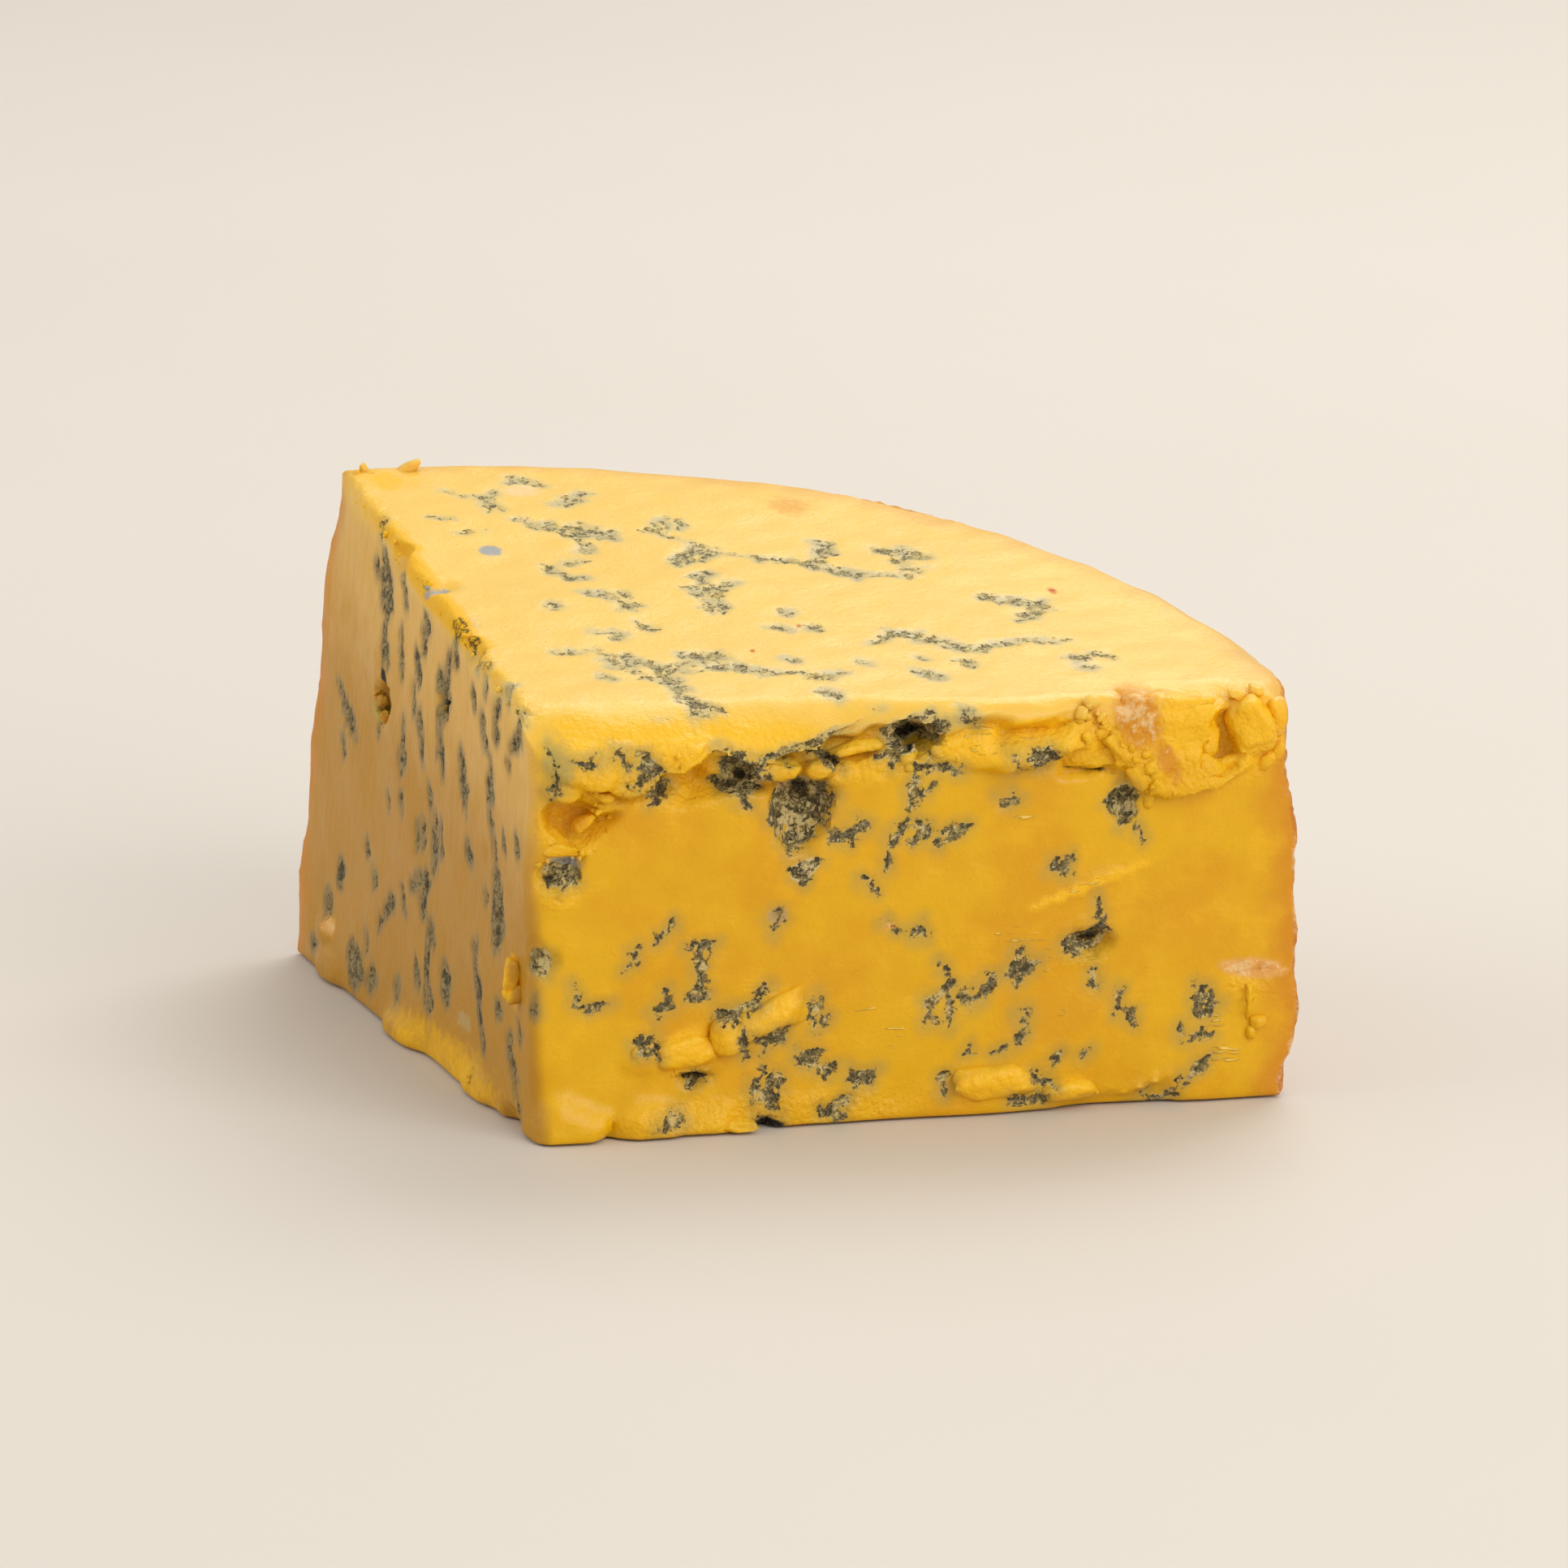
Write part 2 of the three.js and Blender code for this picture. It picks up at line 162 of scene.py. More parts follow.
# Top: along the front cut, back from it.
TOP_RELIEF = [
    (-2.2, 50.6, 3, 2.6, 0, -1.1, 0.3, 0),  # left needle hole
    (33, 0, 14, 6, 0, -0.8, 0.2, 0),  # roll sag
    (86, 1, 12, 5.5, 0, -1.1, 0.3, 0),  # torn dip
]
# Rind: along the arc from the front cut, height.
RIND_RELIEF = [
    (0, 46, 8, 17, 0, -1.1, 0.1, 0),  # front pinch
    (26, 53, 16, 10, 0, 0.9, 0.1, 0),  # high shoulder
    (2, 9, 9, 8, 0, 1, 0.2, 0),  # front foot
    (44, 12, 30, 11, 0, 0.9, 0.1, 0),  # slump
    (92, 38, 17, 12, 0, -1.2, 0.1, 0),  # cloth dent
    (138, 25, 22, 9, 8, -0.9, 0.1, 0),  # shelf mark
]

# How far behind each face its relief reaches. The waves on the faces, and on the
# outlines of the front cut's relief, along it and upwards: how far, how long.
RELIEF_REACH = {"front": 8, "left": 8, "top": 9, "rind": 14}
FRONT_WAVE = (0.2, 17)
LEFT_WAVE = (0.3, 21)
TOP_WAVE = (0.15, 30)
RIND_WAVES = [(0.55, 34), (0.4, 13)]
RAGGED_ALONG = [(0.9, 9), (0.35, 3.6)]
RAGGED_UP = [(0.7, 8), (0.3, 3.2)]

# Flakes, crumbs and torn lumps: middle, half sizes, turn about Y, and how
# crisp their edges are (5 soft, 16 sharp).
LUMPS = [
    ((29.8, 0, 14.4), (7, 2, 2.4), 22, 14),  # upper flake
    ((25.2, -0.2, 13.2), (2.3, 1.8, 2.7), 14, 12),  # and its broken end
    ((20.4, 0.3, 10.9), (4.4, 1.5, 2.5), 3, 16),  # lower flake
    ((14.8, 0.4, 10.5), (2.4, 1.2, 2.4), 20, 14),  # flake tail
    ((60.6, -0.1, 4.5), (5.7, 1.6, 2.3), 2, 14),  # foot smear
    ((70.2, 0, 2.8), (3.9, 1.2, 1.3), 4, 10),  # its small neighbour
    ((26.8, -0.8, 1.1), (2.6, 1.4, 1), 0, 8),  # toe by the foot notch
    ((31.3, 0.3, 47.5), (4.3, 2.2, 2), 4, 6),  # swelling under the lip
    ((37.4, 0.1, 47.3), (2, 2, 1.3), 0, 6),  # button
    ((44.3, 1.9, 45.4), (4.8, 2.1, 2.6), 2, 14),  # block
    ((42, 1, 49.5), (3.6, 1.7, 0.9), 8, 8),  # curl over the block
    ((48.6, 1, 48.4), (2, 1.6, 1), 16, 9),  # crumbs in the cavity
    ((53, 0.6, 48.8), (1.1, 1.2, 0.9), -20, 9),
    ((20.8, 0, 50.2), (2.4, 1.8, 1), 24, 5),  # finger of the roll
    ((76.4, -0.7, 48), (1.1, 1.2, 2.3), 34, 14),  # crumbs beside the torn block
    ((79.2, -0.8, 44.2), (1.3, 1.3, 2), 26, 14),
    ((83.2, 2.2, 50.4), (6.8, 4, 4.2), -4, 9),  # torn block
    ((82.4, -0.8, 45.6), (2.8, 1.7, 2.4), -14, 12),  # lumps of the torn lip
    ((86.6, -0.3, 44.8), (4.6, 1.6, 2.4), -4, 9),
    ((91.2, 0.3, 45.2), (2.4, 1.2, 1.3), 10, 7),
    ((88.6, 1.2, 48), (1.7, 1.9, 2.6), 0, 8),
    ((94.3, 0.1, 49.9), (2.9, 2.7, 4.2), 6, 13),  # pebble
    ((97.6, 1, 50.4), (1.7, 1.7, 3), 6, 9),  # torn shoulder behind it
    ((98, 1.1, 46.2), (1.3, 1.5, 1.7), -10, 9),
    ((96.2, 0.9, 45.2), (1.4, 1.4, 1.2), 20, 9),
    ((92.4, 0.7, 54.2), (1.2, 1.2, 0.8), 10, 14),  # crumbs over the pebble
    ((95, 0.9, 54.5), (1, 1.2, 0.7), -14, 14),
    ((5.2, -0.3, 47.6), (2.9, 1.8, 2.6), 0, 6),  # lobe of the nose
    ((8.8, -0.2, 45.6), (1.8, 1.2, 0.9), -12, 8),
    ((7.2, 1.1, 41.8), (1.7, 1.4, 0.9), 24, 10),  # crumb in the nose hollow
    ((4.2, 0.2, 38.4), (2.6, 0.9, 0.7), -6, 8),  # brow of the point pit
    ((-6, 96, 68), (0.6, 0.7, 0.7), 0, 14),  # crumbs on the far corner
    ((-5, 96.6, 68.5), (0.6, 0.7, 0.8), 30, 14),
    ((-4.2, 95.8, 67.8), (0.5, 0.7, 0.6), 0, 14),
    ((1, 96.4, 68.1), (2.2, 0.9, 0.8), 28, 16),  # and a flake
    ((-1.4, 6.4, 20.6), (1.1, 1.4, 2.4), -12, 14),  # crumbs beside the point
    ((-0.9, 6.2, 18.4), (1.6, 1.5, 1.4), 20, 16),
    ((-1.9, 6.6, 18.2), (0.9, 1, 0.8), -30, 16),
    ((-7, 69, 40.2), (0.8, 1.1, 0.8), 0, 14),  # crumbs in the olive hole
    ((-7.2, 71.2, 41), (0.8, 1.1, 0.8), 20, 14),
    ((-7, 70, 42.2), (0.7, 0.9, 0.7), 0, 14),
    ((-7.2, 72.2, 42.6), (0.6, 0.8, 0.6), 40, 14),
    ((95.6, -0.3, 10.6), (1.1, 1, 0.9), 10, 16),  # crumbs on the rind side
    ((94.6, -0.2, 9.2), (0.6, 0.8, 0.9), 0, 16),
    ((94.3, -0.1, 13.4), (0.45, 0.8, 2.6), -3, 16),  # and their tail
]
FACETS = 16  # flat places of a lump, besides the six of its box
LUMP_CELL = 0.5  # mm between a lump's points
FACET_REACH = (0.85, 1.1)  # of the lump's half size

# Crumbs along torn edges, by a seeded draw: face, from, to, how far they stray,
# how many, and their half sizes.
CRUMB_CRISP = 14
CRUMB_CLEAR = 0.2  # mm over the foot
CRUMB_LINES = [
    ("front", (8.4, 44.6), (9.6, 40.6), 0.6, 12, (0.2, 0.5)),  # nose hollow
    ("front", (1, 37.6), (9, 38), 0.5, 8, (0.2, 0.5)),  # point pit
    ("front", (12, 45), (22, 49), 1.2, 12, (0.2, 0.6)),  # lip
    ("front", (28, 49.4), (40, 48), 1, 12, (0.2, 0.6)),
    ("front", (47, 48), (56, 48.6), 1, 12, (0.2, 0.6)),  # cavity
    ("front", (72.4, 54), (80.6, 42.4), 0.9, 46, (0.25, 0.95)),  # beside the torn block
    ("front", (80, 42.4), (86, 41.6), 0.4, 8, (0.2, 0.5)),  # torn lip
    ("front", (16, 8.4), (24, 8), 0.6, 8, (0.2, 0.5)),  # flakes
    ("front", (66, 3), (74, 2.6), 0.5, 6, (0.2, 0.5)),  # foot smear
    ("left", (5, 54.8), (92, 66.4), 0.7, 44, (0.15, 0.4)),  # top edge of the left cut
]

# Mould: middle, half length, half spread, lean in degrees, how many strokes
# cross there, and their half width.
# Front cut: along from the point, height. Mostly mould; a few thin black strokes just under the lip's
# edge are painted shadow lines.
FRONT_MOULD_AND_SHADOW_LINES = [
    (9.5, 51.6, 4.6, 1.6, -33, 4, 0.4), (14.5, 48.4, 3.4, 1.8, -55, 5, 0.4),
    (17.3, 45.6, 2.7, 0.6, 33, 3, 0.5), (2.4, 50, 4.6, 0.2, 93, 1, 0.25),
    (5.4, 52.8, 2.8, 0.8, -50, 3, 0.35), (7.6, 52.6, 2, 0.3, 82, 2, 0.3),
    # The thin strokes at 25.8, 30.4, 36 and 42.7 along are painted shadow lines under the lip's edge.
    (6.6, 50.8, 2, 0.5, -8, 2, 0.35), (25.8, 50.6, 2.5, 0.1, -28, 1, 0.2),
    (30.4, 49.3, 2.4, 0.1, 14, 1, 0.2), (36, 50.6, 4, 0.3, 16, 2, 0.25),
    (42.7, 52.7, 2.8, 0.1, 12, 1, 0.12), (27.2, 46.5, 3.7, 2.2, -20, 9, 0.5),
    (38.7, 48.6, 2.2, 0.6, -52, 3, 0.45), (35, 43, 3, 3.6, 80, 12, 0.55),
    (31.9, 40.4, 2.8, 0.4, -75, 3, 0.6), (34.7, 37.6, 2.6, 0.3, 3, 3, 0.55),
    (37.9, 42.4, 3.8, 0.4, 86, 3, 0.5), (50.2, 51.2, 4.2, 1.2, 13, 8, 0.8),
    (46.6, 48.6, 1.7, 1, 60, 3, 0.4), (52.8, 46.6, 3.4, 0.2, -13, 2, 0.4),
    (49.3, 43.6, 3.4, 0.4, 86, 3, 0.45), (51, 43.2, 2, 0.1, 50, 1, 0.25),
    (48, 38.2, 2.4, 0.2, 57, 2, 0.35), (46.3, 34.8, 1.7, 0.1, 75, 1, 0.25),
    (41.3, 38.8, 2.8, 0.3, 20, 2, 0.5), (35.4, 34, 2.4, 1.3, 34, 6, 0.5),
    (51.5, 38.6, 2, 0.2, -46, 2, 0.35), (54.7, 37.8, 3, 0.4, 36, 4, 0.5),
    (49.3, 36.8, 0.7, 0.2, -20, 1, 0.45), (43.8, 32, 2.3, 0.3, -55, 3, 0.35),
    (50.3, 25, 1.6, 0.8, -20, 4, 0.5), (46.8, 26, 1.5, 0.1, -20, 1, 0.2),
    (31.9, 28.9, 0.8, 0.1, 0, 1, 0.14), (31.9, 28.1, 0.9, 0.1, 4, 1, 0.14),
    (31.8, 27.4, 0.7, 0.1, 0, 1, 0.12), (21.9, 24.9, 1.9, 0.2, 2, 2, 0.42),
    (21.6, 21.2, 3.6, 0.1, 90, 2, 0.42), (21.6, 18.2, 1.5, 0.3, 6, 2, 0.42),
    (17, 27, 2.2, 0.1, 54, 1, 0.22), (13, 23.6, 2, 0.1, 58, 1, 0.16),
    (8.6, 17.6, 1.8, 0.2, 18, 2, 0.32), (17, 17, 2.4, 0.6, 48, 3, 0.28),
    (5.7, 19.2, 1.9, 0.1, -72, 1, 0.22), (69.4, 32.6, 2.2, 0.7, 16, 4, 0.4),
    (74.3, 26, 2.6, 0.2, 94, 2, 0.34), (72.6, 22.6, 3.3, 1.1, 14, 8, 0.6),
    (74.4, 17.5, 2.4, 0.3, -22, 3, 0.34), (76.9, 14.9, 2, 0.4, 88, 3, 0.34),
    (78.6, 12.2, 1.6, 0.7, -20, 3, 0.28), (63.4, 20, 2.5, 1.9, 58, 8, 0.42),
    (59.6, 17.4, 2, 1.1, 50, 5, 0.4), (56.8, 16.1, 2.2, 0.4, 8, 3, 0.42),
    (53.2, 16.7, 2.6, 0.2, 34, 2, 0.34), (51.5, 13.7, 1.5, 0.4, 60, 3, 0.34),
    (54.9, 14.4, 2.4, 0.1, 92, 1, 0.32), (53.6, 20.4, 1.2, 0.1, -62, 2, 0.34),
    (64.4, 11.8, 2.6, 0.4, 88, 4, 0.38), (57.2, 8.2, 0.7, 0.3, 20, 1, 0.4),
    (60.8, 8.6, 0.8, 0.3, 10, 1, 0.4), (69, 7.2, 1.1, 0.4, 55, 2, 0.36),
    (72.4, 7.6, 0.9, 0.3, 35, 1, 0.42), (88.4, 13.8, 3, 1, 100, 8, 0.48),
    (88.2, 9.4, 2.4, 0.5, 32, 3, 0.36), (85.4, 9.6, 1, 0.2, 95, 1, 0.34),
    (87.6, 4.6, 2.8, 0.2, 46, 2, 0.32), (37.3, 15.2, 2.9, 0.9, 88, 7, 0.5),
    (29.6, 19, 1.4, 0.6, 15, 3, 0.44), (32.6, 13.4, 4.6, 0.3, 37, 3, 0.42),
    (26.7, 16.5, 3.2, 0.2, 17, 2, 0.3), (27.6, 12.1, 2.1, 0.1, -80, 2, 0.36),
    (36.6, 8.8, 3.2, 0.8, -20, 7, 0.42), (43.4, 5.8, 2.2, 0.8, -28, 5, 0.42),
    (30.6, 5.4, 2.8, 1.6, -35, 8, 0.44), (39.8, 2, 2.8, 0.8, 12, 5, 0.48),
    (17.6, 2, 2.6, 0.6, 10, 4, 0.34), (21.2, 7.2, 1.4, 0.4, -8, 3, 0.6),
    (14.6, 12, 2.4, 1, 25, 5, 0.28), (53.5, 4.4, 1.8, 0.6, 88, 4, 0.5),
    (66.6, 4.6, 1.7, 0.5, -40, 4, 0.46), (65, 2, 2.4, 0.2, 6, 2, 0.36),
    (51.9, 54.4, 1.2, 0.4, -72, 3, 0.42), (56.4, 54, 1.4, 0.5, -55, 3, 0.42),
    (56.9, 52.6, 1.4, 0.2, -12, 2, 0.36), (66.3, 47.8, 2, 1.5, 36, 9, 0.44),
    (77.5, 40.6, 2, 1.8, 30, 11, 0.44), (79.4, 36.6, 1.4, 0.4, -70, 2, 0.16),
    (62.7, 47, 1.4, 0.3, -80, 2, 0.24), (62.4, 42, 1.8, 0.8, 40, 3, 0.14),
    (4.2, 35.2, 2.4, 0.9, -10, 6, 0.5), (1.2, 23.8, 1.6, 0.9, 80, 5, 0.42),
    (0.5, 17.6, 0.9, 0.3, 85, 2, 0.4), (30.8, 0.6, 2.4, 0.8, 0, 4, 0.7),
    (82.6, 0.4, 4.4, 0.3, 2, 3, 0.4),
]
# Where the knife left pale scratches along the front cut: middle, half sizes, turn.
FRONT_SCRATCHES = [
    (64, 39.8, 2.4, 2, 2), (58.2, 30.3, 1.6, 0.9, 0), (73.4, 30.2, 11, 1.1, 18.5),
    (91.4, 6.4, 3, 2.6, -12), (90.6, 11.8, 2.4, 2, 30), (43.4, 14.9, 2.2, 1.2, 4), (47, 11.4, 3, 2, 6),
    (62.4, 24, 2.6, 2, 4), (54, 33, 3, 1.4, 12), (68.6, 13.4, 2, 1, 4), (66, 21, 3, 4, 0),
    (60, 50, 8, 2.6, 2),
]
# Left cut: along from the point, height. The knife drew these into long
# upright smears.
LEFT_MOULD = [
    (76.8, 64.6, 2, 1.2, 47, 5, 0.6), (73.1, 56.7, 6, 2.6, 40, 6, 0.9), (77.8, 59.1, 1, 1, 60, 3, 0.8),
    (62.9, 60.4, 4, 0.5, 63, 3, 0.6), (70, 50.4, 4, 0.9, 69, 4, 0.7),
    (71.8, 38.5, 1.4, 0.7, 60, 2, 0.6), (62.3, 51.7, 4.4, 0.8, 75, 3, 0.5),
    (53.8, 50.6, 2.8, 1, 60, 4, 0.8), (54.6, 45.4, 3, 0.6, 66, 3, 0.5),
    (51.1, 55.5, 2.6, 2, 40, 5, 0.8), (37.7, 57.4, 4.2, 0.8, 72, 5, 0.7),
    (36.4, 59.6, 3.6, 1.4, 10, 6, 0.7), (31.4, 58.8, 1.6, 1.2, 50, 4, 0.7),
    (21.6, 57.4, 3.4, 0.6, 80, 3, 0.5), (40.5, 51.3, 3.4, 2.2, 66, 6, 0.9),
    (41, 48.2, 2, 1.2, 30, 6, 0.8), (41.7, 42.9, 4.4, 0.4, 77, 2, 0.5), (28, 52.4, 2, 0.6, 68, 3, 0.6),
    (25.6, 58, 2.2, 1.2, 40, 5, 0.7), (12.5, 55.6, 2.6, 0.6, 62, 3, 0.4),
    (4.6, 53.4, 2.2, 1.4, 66, 7, 0.6), (7.4, 51.6, 4, 0.5, 145, 2, 0.4),
    (16.4, 52.4, 2.6, 0.6, 108, 3, 0.5), (16.2, 49.6, 1.4, 0.5, 60, 3, 0.5),
    (21.9, 48.9, 3.2, 1.2, 55, 5, 0.7), (18.2, 43.3, 4, 0.6, 71, 3, 0.5),
    (49.9, 41.6, 3.8, 0.9, 73, 4, 0.6), (58.4, 36.9, 1.9, 1.6, 71, 4, 0.8),
    (59.1, 39.6, 2.4, 0.3, 72, 1, 0.4), (30.9, 40.3, 4.8, 1.1, 55, 5, 0.7),
    (19, 41.6, 2.6, 1, 60, 4, 0.6), (46.1, 34.4, 2, 1, 66, 4, 0.7), (63.8, 29.7, 1.6, 0.8, 59, 3, 0.6),
    (57.2, 31.3, 1.3, 0.5, 73, 1, 0.4), (10.8, 47.3, 0.7, 0.4, 40, 2, 0.4),
    (85.7, 37.1, 6, 0.6, 30, 2, 0.5), (82.9, 35.9, 3, 0.8, 30, 3, 0.6),
    (85.7, 32.4, 1.4, 0.7, 50, 2, 0.5), (83.1, 15.8, 2.6, 0.9, 63, 3, 0.7),
    (71.4, 21.7, 0.9, 0.6, 60, 2, 0.5), (67.3, 19, 1.6, 1.1, 60, 4, 0.7),
    (87.9, 9.8, 2.2, 1.4, 55, 4, 0.8), (48.7, 22.5, 3.6, 0.8, 160, 4, 0.6),
    (54.7, 18.6, 2, 1, 50, 4, 0.7), (61, 16, 2.2, 1, 119, 4, 0.7), (63.7, 13.6, 1.6, 0.9, 126, 3, 0.6),
    (49.9, 28.9, 2.6, 1.6, 60, 4, 0.6), (44.1, 29.3, 4.4, 2, 74, 5, 0.6),
    (39.5, 30.8, 2.2, 0.5, 71, 2, 0.5), (27.9, 31.1, 1.9, 0.8, 72, 4, 0.6),
    (17.5, 36.2, 4, 0.7, 76, 4, 0.6), (15.1, 27.4, 6.6, 1.9, 82, 9, 0.9),
    (11.6, 36.8, 2.2, 0.8, 60, 3, 0.5), (5.5, 37.8, 1.5, 0.6, 60, 3, 0.5),
    (21.3, 27.4, 1.2, 0.5, 63, 3, 0.5), (45.1, 23.4, 1.1, 0.9, 60, 4, 0.8),
    (45.7, 20.3, 2.5, 0.9, 79, 3, 0.6), (42.4, 17, 2, 0.9, 74, 4, 0.7),
    (42.9, 12.6, 2.8, 0.5, 80, 2, 0.6), (42.2, 7.9, 1.9, 1.3, 60, 4, 0.8),
    (47.9, 10.9, 2.4, 0.7, 78, 3, 0.6), (36.2, 12, 3, 0.9, 55, 5, 0.7),
    (22.9, 19.7, 1.6, 0.8, 78, 3, 0.6), (22.5, 15.1, 3, 1.1, 62, 5, 0.7),
    (21, 9.9, 2.8, 0.4, 79, 2, 0.4), (20.8, 8.2, 1, 0.8, 70, 3, 0.6), (74, 4.3, 3.4, 2.4, 60, 7, 1),
    (70.4, 5.8, 2.2, 1.2, 71, 5, 0.9), (66, 4.9, 2, 1.2, 61, 4, 0.8), (69.3, 9.3, 1.4, 0.5, 72, 2, 0.5),
    (91.3, 3.3, 1.2, 0.9, 55, 3, 0.6), (13.6, 14, 1.4, 0.6, 76, 3, 0.5),
    (7.9, 6.9, 5.2, 0.5, 62, 2, 0.3), (23.2, 2.6, 1.5, 0.6, 61, 2, 0.5),
    (5.9, 13.2, 1.3, 0.4, 75, 1, 0.3), (55.4, 6, 1.3, 0.6, 68, 2, 0.4),
]
# Top: along the front cut, back from it.
TOP_MOULD = [
    (10.6, 81, 6.8, 1.4, -72, 3, 0.32), (15.2, 72.4, 4.6, 0.5, -46, 3, 0.34),
    (15.8, 89.6, 3.7, 0.9, -40, 3, 0.23), (21.6, 83, 5.3, 1.4, 58, 3, 0.2),
    (21.6, 68.4, 4.6, 0.8, 6, 4, 0.32), (19.6, 70.4, 2.9, 0.5, 66, 2, 0.27),
    (20, 63.4, 2.9, 1.4, 75, 3, 0.2), (13.5, 54.6, 3.2, 0.5, -82, 3, 0.32),
    (15.8, 51.6, 2.4, 0.5, -6, 3, 0.3), (17, 57.6, 2.2, 0.5, 20, 3, 0.22),
    (33.8, 59.4, 5.1, 1.9, 28, 6, 0.37), (32.8, 56.8, 3.7, 1.6, 55, 4, 0.28),
    (32, 50.6, 2.9, 0.7, 35, 3, 0.23), (32, 43.4, 7.2, 0.5, -78, 3, 0.22),
    (33.6, 45.6, 3.1, 0.5, 22, 2, 0.2), (19, 45, 3.3, 0.5, -20, 3, 0.27),
    (20.6, 41, 2.9, 1.2, -60, 4, 0.3), (21.8, 33, 2.3, 0.5, -58, 3, 0.27),
    (16.6, 21.6, 5.1, 1, -50, 4, 0.29), (20.6, 12.4, 7.5, 0.9, -76, 6, 0.35),
    (21.8, 2.4, 5.3, 0.8, -90, 5, 0.34), (24, 4.6, 3.1, 0.9, -60, 3, 0.23),
    (15.8, 30.2, 2.1, 0.3, -46, 2, 0.19), (26.8, 21.4, 3.1, 0.3, -24, 2, 0.23),
    (30, 16, 6.5, 0.7, -17, 3, 0.22), (23, 16, 1.4, 0.5, -28, 2, 0.23),
    (38.7, 30.4, 2.2, 0.7, -50, 3, 0.3), (43.4, 30.6, 2.4, 0.7, -80, 3, 0.3),
    (40.6, 36, 1.2, 0.3, -60, 2, 0.25), (46.4, 55, 2.9, 0.7, -30, 3, 0.23),
    (50.8, 51.6, 4.1, 0.7, -42, 3, 0.23), (51, 58.6, 4.3, 0.3, 60, 2, 0.15),
    (61.4, 56.6, 4.6, 1, -48, 4, 0.28), (60.4, 53.4, 1.7, 0.5, -40, 3, 0.25),
    (61.2, 50.2, 1.3, 0.3, -40, 2, 0.2), (70.6, 38, 3.9, 0.5, -44, 3, 0.28),
    (73.4, 33.4, 5.6, 0.5, 48, 3, 0.27), (75.2, 34.6, 2.2, 0.5, -30, 3, 0.27),
    (52, 25.2, 3.3, 0.3, 35, 2, 0.19), (58.2, 23.4, 6.5, 0.5, -40, 3, 0.17),
    (67.4, 20.8, 6.3, 0.3, 12, 2, 0.15), (74.8, 15.6, 2.1, 0.5, -26, 3, 0.27),
    (78.2, 15.6, 1.8, 0.3, -44, 2, 0.27), (75, 12, 1, 0.3, -55, 2, 0.28),
    (54, 11.8, 2.9, 0.5, -78, 3, 0.28), (60.3, 15, 1.8, 0.3, -78, 2, 0.23),
    (54.8, 17.6, 1, 0.2, -60, 1, 0.2), (46.8, 16.6, 1.1, 0.2, -35, 1, 0.2),
    (38, 18.6, 1.2, 0.3, -50, 2, 0.23), (41, 12.6, 2.2, 0.5, 30, 2, 0.22),
    (40, 6.4, 1.7, 0.3, -55, 2, 0.23), (5.8, 86, 1.9, 0.3, -54, 1, 0.2),
    (2.4, 76, 1.9, 0.3, -30, 1, 0.22), (5.4, 71, 1.9, 0.3, 10, 1, 0.22),
    (10.4, 41, 1.4, 0.5, -88, 2, 0.2), (32, 70.4, 4.1, 1.9, 60, 4, 0.15),
    (13, 15, 1.4, 0.3, -56, 1, 0.17), (19, 62, 1.1, 0.3, 0, 1, 0.23), (43, 0, 3.7, 0.7, 28, 3, 0.17),
    (17.4, 2.4, 1.2, 0.5, 0, 1, 0.28),
]
# Single threads on the top: middle, half length, lean.
TOP_THREADS = [
    (14.3, 73.1, 3, -61), (17.3, 71, 1.7, 17), (21.6, 68.7, 3.9, -47), (30.2, 67.5, 2.9, -40),
    (41.8, 58, 4.5, -22), (48.3, 53.2, 3.9, -53), (54.4, 49.4, 3.8, -10), (59.3, 48.3, 1.3, -20),
    (31.1, 41.9, 5.3, -71), (34.3, 45.8, 3, 33), (10.5, 24.6, 2.7, 1), (13.8, 21.2, 3.5, -80),
    (17.2, 14.5, 4.3, -49), (26.3, 20.9, 2.3, -6), (29.4, 16.7, 7.4, -20), (38.3, 13.1, 2.3, -28),
    (53.2, 27.8, 1.8, -36), (56.9, 24.6, 3.1, -44), (60.3, 21, 1.8, -49), (64.4, 20.6, 3.1, 17),
    (59.8, 57.3, 3.2, -55), (63.1, 54.6, 1.5, -6), (71.3, 38.3, 3.4, -39), (73.9, 33.9, 2.3, -93),
    (51.4, 62.2, 1.4, -50), (50.8, 58.5, 3, -120), (73.3, 21.5, 2.3, 10),
]
THREAD_SPREAD = 0.1
THREAD_WIDTH = 0.2
# The underside gets this many marks, by a seeded draw, this far from the point.
UNDERSIDE_MARKS = 34
UNDERSIDE_REACH = 96
UNDERSIDE_WIDTH = 0.4

STEP = 0.7  # mm between the bends of a stroke
STROKE_WIDTHS = (0.3, 1.15)  # of its row's half width, by a seeded draw
STROKE_END = 0.35  # of its width there
CROSSING_REACH = (0.3, 0.75)  # of its row's half length, where more than two cross
TWIG_LENGTHS = (0.4, 1.5)
TWIG_WIDTH = 0.7  # of its stroke's
TWIG_TIP = 0.05
FAR = 3.0  # mm: distances to the mould are kept up to this
MOULD_DEPTH = 0.7  # mm of mould behind a face at its full width
MOULD_REACH = 5  # mm behind a face where its mould ends at the latest

# Fluff that fills the larger holes, as ovals: middle, half sizes, turn.
FRONT_FLUFF = [
    (35, 42, 3.6, 5, 0), (27.2, 46.4, 3.4, 2.2, -20), (50, 50.6, 5, 2.2, 8), (77.5, 40.8, 2.6, 2.7, 0),
    (4.2, 35.6, 3, 2.2, 0), (1.2, 23.8, 1.8, 2.6, 0), (66.3, 47.8, 2, 1.6, 0),
    (73.4, 22.6, 3.4, 1.4, 0), (35.4, 34, 2.2, 1.4, 30),
]
LEFT_FLUFF = [
    (70.6, 42, 3.4, 3.2, 0), (15.2, 27, 2, 6, -8), (4.4, 57, 2.6, 3.4, 0),
]

